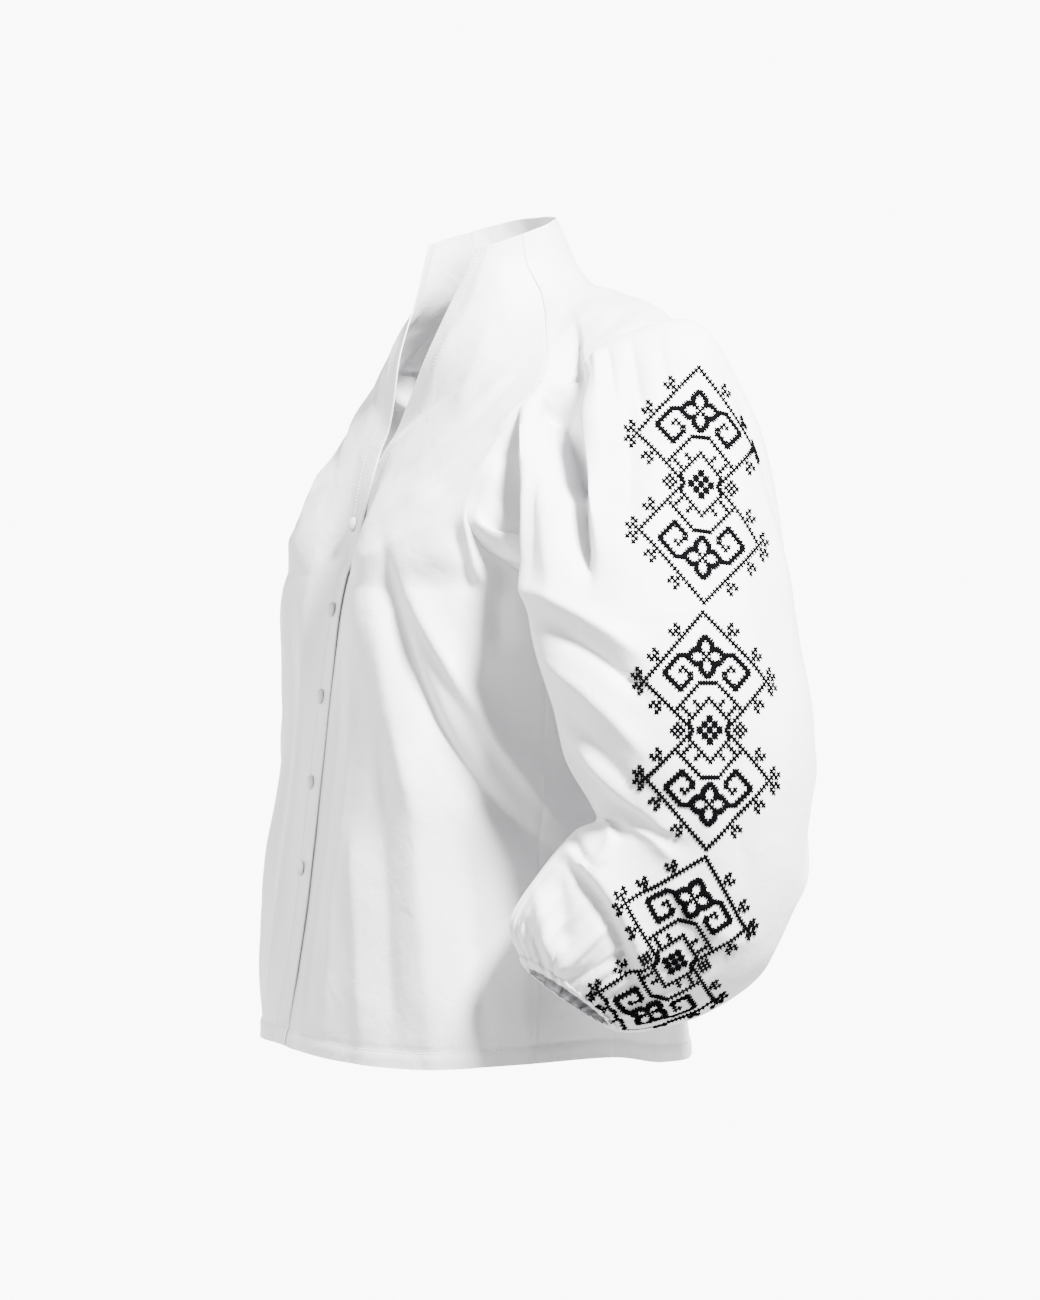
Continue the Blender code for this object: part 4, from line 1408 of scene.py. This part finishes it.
@dataclass
class CoveredButton:
    """Button under a tightly drawn dome of the same cloth."""

    radius: float = 6.0
    sides: int = 48
    profile: tuple[tuple[float, float], ...] = (
        (0.0, 4.3), (1.6, 4.22), (3.0, 3.95), (4.2, 3.45), (5.1, 2.75), (5.7, 1.95),
        (6.0, 1.2), (5.95, 0.6), (5.6, 0.25), (4.8, 0.0), (0.0, 0.0))

    def build(self, node: str, finish: bpy.types.Material) -> bpy.types.Object:
        """Turns the dome in the place and lean of its solid."""
        corners = np.array([v.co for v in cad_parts[node].data.vertices]) / MM
        centre = corners.mean(axis=0)
        _, _, axes = np.linalg.svd(corners - centre)
        axis = axes[2] if axes[2][1] < 0 else -axes[2]
        reach = (corners - centre) @ axis
        base = centre + axis * reach.min()
        flat = unit(np.cross(axis, np.array([0.0, 0.0, 1.0])))
        upright = np.cross(flat, axis)
        turns = np.arange(self.sides) * 2 * math.pi / self.sides
        rings = [base + flat * r * math.cos(t) + upright * r * math.sin(t) + axis * h
                 for r, h in self.profile[1:-1] for t in turns]
        poles = [base + axis * self.profile[0][1], base + axis * self.profile[-1][1]]
        count = len(self.profile) - 2
        faces = []
        for k in range(self.sides):
            n = (k + 1) % self.sides
            for ring in range(count - 1):
                a, b = ring * self.sides, (ring + 1) * self.sides
                faces.append((a + k, b + k, b + n, a + n))
            faces.append((count * self.sides, k, n))
            last = (count - 1) * self.sides
            faces.append((count * self.sides + 1, last + n, last + k))
        made = new_object(node + "_covered", np.array(rings + poles), faces, finish)
        self.face_out(made.data, centre * MM)
        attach(made, "root")
        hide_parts(node)
        return made

    def face_out(self, mesh: bpy.types.Mesh, centre: np.ndarray) -> None:
        """Turns the faces to look away from the middle."""
        first = mesh.polygons[0]
        if first.normal.dot(first.center - Vector(centre)) < 0:
            mesh.flip_normals()


# The whole blouse


@dataclass
class Blouse:
    """Blouse of ten cut pieces, with its buttons, sewing and embroidery."""

    body: BodyForm = field(default_factory=BodyForm)
    arm: SleeveForm = field(default_factory=SleeveForm)
    hem: Hem = Hem(13.0, 0.8, 0.5)
    yoke_turning: Hem = Hem(4.0, 0.7, 0.0)
    # How far from an edge its stitches run
    band: float = 25.0
    edge_stitch: float = 2.5
    yoke_stitch: float = 2.0
    cuff_stitch: float = 1.2
    # Stretches of the fronts where their own folds fade: the lap, the neck, the side seam
    plain_lap: float = 26.0
    plain_neck: float = 60.0
    plain_side: float = 0.2

    def body_grids(self) -> tuple[np.ndarray, np.ndarray, np.ndarray]:
        """Folded grids of the left front, side panel and half of the back."""
        front, side, back = self.body.front(), self.body.side(), self.body.back()
        low = self.body.skirt_rows + 1
        normals = [grid_normals(front), grid_normals(side), grid_normals(back)]
        for left, right in ((0, 1), (1, 2)):
            shared = unit(normals[left][:low, -1] + normals[right][:low, 0])
            normals[left][:low, -1] = shared
            normals[right][:low, 0] = shared
        flat = unit(normals[2][:, -1] * np.array([0.0, 1.0, 1.0]))
        normals[2][:, -1] = flat
        elevations = [BODY_QUARTER, BODY_BACK]
        return tuple(raised(grid, out, elevations)
                     for grid, out in zip((front, side, back), normals))

    def armhole(self, front: np.ndarray, side: np.ndarray, back: np.ndarray,
                yoke: np.ndarray) -> np.ndarray:
        """Ring of the left armhole, from the front of the underarm up the front."""
        low = self.body.skirt_rows
        top = self.body.yoke_front + self.body.yoke_shoulder
        return np.concatenate([
            front[low:low + self.body.armhole_rows + 1, -1], yoke[1:top + 1, 0],
            back[-2:low - 1:-1, 0], side[-1, -2:0:-1]])

    def pieces(self) -> dict[str, CutPiece]:
        """All cut pieces, by the name of the solid that each stands for."""
        front, side, back = self.body_grids()
        yoke = self.body.yoke(front, back)
        armhole = self.armhole(front, side, back, yoke)
        angles = self.arm.angles(self.body)
        whole_back = np.concatenate([back, mirrored(back[:, -2::-1])], axis=1)
        whole_yoke = np.concatenate([yoke, mirrored(yoke[-2::-1])], axis=0)
        fronts = {Side.LEFT: self.body.lapped(front), Side.RIGHT: mirrored(front)}
        made = {
            "back": CutPiece("back", whole_back, 1, False, (0.52, 0.56), 0.23, Held.HUNG),
            "yoke": CutPiece("yoke", whole_yoke, -1, False, (0.48, 0.24), 0.075, Held.HUNG),
        }
        for wearer_side, end in zip(Side, ENDS):
            turn = wearer_side.value
            place = (lambda grid: grid) if turn > 0 else mirrored
            sleeve = self.arm.sleeve(armhole, angles, wearer_side)
            cuff = self.arm.cuff(sleeve[-1], angles)
            grid = fronts[wearer_side]
            grid = raised(grid, grid_normals(grid) * turn, [BODY_FRONT],
                          self.placket_fade(grid, turn))
            parts = (
                ("front", grid, turn, False, (0.34, 0.77), 0.17, Held.HUNG),
                ("side", place(side.copy()), turn, False, (0.08, 0.39), 0.026, Held.HUNG),
                ("sleeve", place(sleeve), -turn, True, (0.70, 0.67), 0.32, Held.GATHERED),
                ("cuff", place(cuff), -turn, True, (0.33, 0.01), 0.0026, Held.GATHERED),
            )
            for part, points, out, around, flat, area, held in parts:
                name = f"{part}_{end}"
                made[name] = CutPiece(name, points, out, around, flat, area, held)
        return made

    def placket_fade(self, grid: np.ndarray, turn: int) -> np.ndarray:
        """Share of the front folds: none at the lap, the side seam and the neck."""
        inward = np.abs(grid[..., 0] - grid[:, :1, 0])
        columns = even(grid.shape[1] - 1)[None, :]
        below = self.body.lap_top - self.plain_neck - grid[..., 2]
        return (ease((inward - self.plain_lap) / self.plain_lap)
                * ease((1 - columns) / self.plain_side) * ease(below / self.plain_neck))

    def sew(self, pieces: dict[str, CutPiece]) -> None:
        """Turns the hems and sinks the seams."""
        for name in HEMMED:
            pieces[name].turned_hem(Edge.FIRST_ROW, self.hem)
        for end in ENDS:
            pieces[f"front_{end}"].border_dip([Edge.LAST_COLUMN], 0.5)
            pieces[f"side_{end}"].border_dip(COLUMN_EDGES, 0.6)
            pieces[f"sleeve_{end}"].border_dip(ROW_EDGES, 0.3)
        pieces["back"].border_dip([*COLUMN_EDGES, Edge.LAST_ROW], 0.9)
        pieces["yoke"].border_dip(ROW_EDGES, 1.1)
        pieces["yoke"].turned_hem(Edge.FIRST_COLUMN, self.yoke_turning)

    def seams(self, pieces: dict[str, CutPiece], tree: bpy.types.NodeTree) -> bpy.types.Object:
        """Sews hems, bands, neck edges, yoke and cuffs."""
        sewing = SeamSewing()
        lines = [(name, Edge.FIRST_ROW, self.hem.width) for name in HEMMED]
        for end in ENDS:
            lines += [(f"front_{end}", Edge.FIRST_COLUMN, self.band),
                      (f"front_{end}", Edge.FIRST_COLUMN, self.edge_stitch),
                      (f"front_{end}", Edge.LAST_ROW, self.edge_stitch)]
        lines += [("yoke", Edge.LAST_COLUMN, self.edge_stitch),
                  ("yoke", Edge.FIRST_COLUMN, self.yoke_stitch)]
        lines += [(f"cuff_{end}", edge, self.cuff_stitch) for end in ENDS for edge in ROW_EDGES]
        for name, edge, distance in lines:
            sewing.run(*pieces[name].line_at(edge, distance))
        return sewing.build("seam_stitches", tree)

    def embroider(self, pieces: dict[str, CutPiece],
                  tree: bpy.types.NodeTree) -> dict[str, bpy.types.Object]:
        """Embroiders both sleeves and gives each band by the name of its sleeve."""
        band = Embroidery()
        made = {}
        for side, end in zip(Side, ENDS):
            piece = pieces[f"sleeve_{end}"]
            if side is Side.RIGHT:
                piece = replace(piece, name="mirror", grid=mirrored(piece.grid), out=-1)
            stitches = band.stitches(piece, Motif())
            if side is Side.RIGHT:
                stitches = [Stitch(*(mirrored(value) for value in s)) for s in stitches]
            pitch = band.units[0].pitch
            made[f"sleeve_{end}"] = stitched(f"cross_stitch_{end}", tree, stitches, {
                "Length": pitch * math.sqrt(2) * band.overlap * MM, "Radius": band.radius * MM,
                "Lift": band.lift * MM, "Squeeze": band.width_pitch / pitch})
            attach(made[f"sleeve_{end}"], "root")
            log.info("cross_stitch_%s: %d stitches", end, len(stitches))
        return made

    def build(self) -> None:
        """Builds and dresses every piece."""
        cloth = Poplin().material()
        # The button cover is the same poplin painted darker than the cloth, as painted shade over
        # the buttons.
        cover = Poplin(name="button_cover_painted_shade", colour="#d0d0d3", shade="#c8c8cc",
                       thread=0.7, weave=0.1, crease_depth=0.1).material()
        # Each thread's second colour is painted shade in the grooves between its plies.
        white = Thread("white_sewing_cotton", "#dcdcde", "#c8c8cc").material()
        black = Thread("black_embroidery_cotton", "#050506", "#020203", 0.9, 0.03).material()
        pieces = self.pieces()
        self.sew(pieces)
        plain = StitchTree("machine_stitches", False, white).build()
        crossed = StitchTree("cross_stitches", True, black, 4).build()
        bands = self.embroider(pieces, crossed)
        self.seams(pieces, plain)
        for name, piece in pieces.items():
            made = piece.shell(cloth)
            piece.declare(made, [bands[name]] if name in bands else [])
            log.info("%s: %d faces", made.name, len(made.data.polygons))
        for index in range(1, 6):
            CoveredButton().build(f"button_{index}", cover)


class Lamp(NamedTuple):
    """Soft disc of light: degrees round and up, its distance and size, and its power."""

    name: str
    azimuth: float
    elevation: float
    distance: float
    size: float
    power: float


@dataclass
class Studio:
    """Pale floor, soft lights and the camera of the photograph."""

    lamps: tuple[Lamp, ...] = (
        Lamp("key_softbox", 102, 45, 3.2, 0.7, 1200),
        Lamp("fill_softbox", 5, 26, 3.6, 1.6, 140),
    )

    target: tuple[float, float, float] = (0.0, 0.004257, -0.295)
    azimuth: float = 70.0
    elevation: float = 4.0
    distance: float = 6.0
    frame_height: float = 1.04
    sensor: float = 36.0
    floor_z: float = -3.0
    floor_radius: float = 12.0
    floor_colour: str = "#f7f7f7"
    floor_shade: str = "#f4f4f4"
    world_dim: float = 0.12
    world_bright: float = 10.0
    world_near: float = 0.05
    # Sines of the elevations between which the lit backdrop fades in and out
    backdrop_low: tuple[float, float] = (-0.27, -0.17)
    backdrop_high: tuple[float, float] = (0.03, 0.12)

    def way(self, azimuth: float, elevation: float) -> Vector:
        """Direction from the blouse to a place, in degrees round and up."""
        a, e = math.radians(azimuth), math.radians(elevation)
        return Vector((math.sin(a) * math.cos(e), -math.cos(a) * math.cos(e), math.sin(e)))

    def camera(self) -> None:
        """Camera at the photograph's angle and scale."""
        made = bpy.data.cameras.new("camera")
        made.sensor_fit = "VERTICAL"
        made.sensor_height = self.sensor
        made.lens = self.sensor * self.distance / self.frame_height
        made.clip_end = 200.0
        bpy.context.scene.camera = self.aimed(made, self.azimuth, self.elevation, self.distance)

    def aimed(self, data: bpy.types.ID, azimuth: float, elevation: float,
              distance: float) -> bpy.types.Object:
        """Camera or light set round the blouse and turned to face it."""
        made = bpy.data.objects.new(data.name, data)
        way = self.way(azimuth, elevation)
        made.location = Vector(self.target) + way * distance
        made.rotation_euler = (-way).to_track_quat("-Z", "Y").to_euler()
        bpy.context.scene.collection.objects.link(made)
        return made

    def light(self, lamp: Lamp) -> None:
        """Soft area light that faces the blouse."""
        made = bpy.data.lights.new(lamp.name, "AREA")
        made.shape = "DISK"
        made.size = lamp.size
        made.energy = lamp.power
        self.aimed(made, lamp.azimuth, lamp.elevation, lamp.distance)

    def floor(self) -> None:
        """Wide pale floor."""
        bpy.ops.mesh.primitive_circle_add(vertices=96, radius=self.floor_radius,
                                          fill_type="NGON",
                                          location=(0, 0, self.floor_z))
        made = bpy.context.object
        made.name = "floor"
        finish, tree, shader = new_material("matt_white_floor")
        mottled(tree, shader, (self.floor_colour, self.floor_shade), 0.7, 2.0)
        set_inputs(shader, {"Roughness": 0.9, "Specular IOR Level": 0.1})
        made.data.materials.append(finish)

    def backdrop(self) -> None:
        """White wall of light all round at the height of the blouse, dim above and below."""
        world = bpy.data.worlds.new("studio")
        world.use_nodes = True
        tree = world.node_tree
        tree.nodes.clear()
        place = add_node(tree, "ShaderNodeTexCoord")
        parts = add_node(tree, "ShaderNodeSeparateXYZ", {"Vector": place.outputs["Generated"]})
        fades = []
        for (start, end), (low, high) in ((self.backdrop_low, (0.0, 1.0)),
                                          (self.backdrop_high, (1.0, 0.0))):
            fades.append(add_node(tree, "ShaderNodeMapRange", {
                "Value": parts.outputs["Z"], "From Min": start, "From Max": end,
                "To Min": low, "To Max": high}, interpolation_type="SMOOTHSTEP"))
        share = add_node(tree, "ShaderNodeMath", {
            0: fades[0].outputs["Result"], 1: fades[1].outputs["Result"]},
            operation="MULTIPLY")
        toward = add_node(tree, "ShaderNodeVectorMath", {
            0: place.outputs["Generated"], 1: self.way(self.azimuth, 0)},
            operation="DOT_PRODUCT")
        near = add_node(tree, "ShaderNodeMapRange", {
            "Value": toward.outputs["Value"], "From Min": -0.1, "From Max": 0.6,
            "To Min": self.world_bright, "To Max": self.world_bright * self.world_near},
            interpolation_type="SMOOTHSTEP")
        strength = add_node(tree, "ShaderNodeMapRange", {
            "Value": share.outputs[0], "To Min": self.world_dim,
            "To Max": near.outputs["Result"]})
        light = add_node(tree, "ShaderNodeBackground", {
            "Color": (1.0, 1.0, 1.0, 1.0), "Strength": strength.outputs["Result"]})
        add_node(tree, "ShaderNodeOutputWorld", {"Surface": light.outputs["Background"]})
        bpy.context.scene.world = world

    def build(self) -> None:
        """Sets the backdrop, the floor, the lights and the camera."""
        self.backdrop()
        self.floor()
        for lamp in self.lamps:
            self.light(lamp)
        self.camera()


def main() -> None:
    """Builds the studio and the blouse."""
    logging.basicConfig(level=logging.INFO, format="%(name)s: %(message)s")
    Studio().build()
    Blouse().build()


if __name__ == "__main__":
    main()
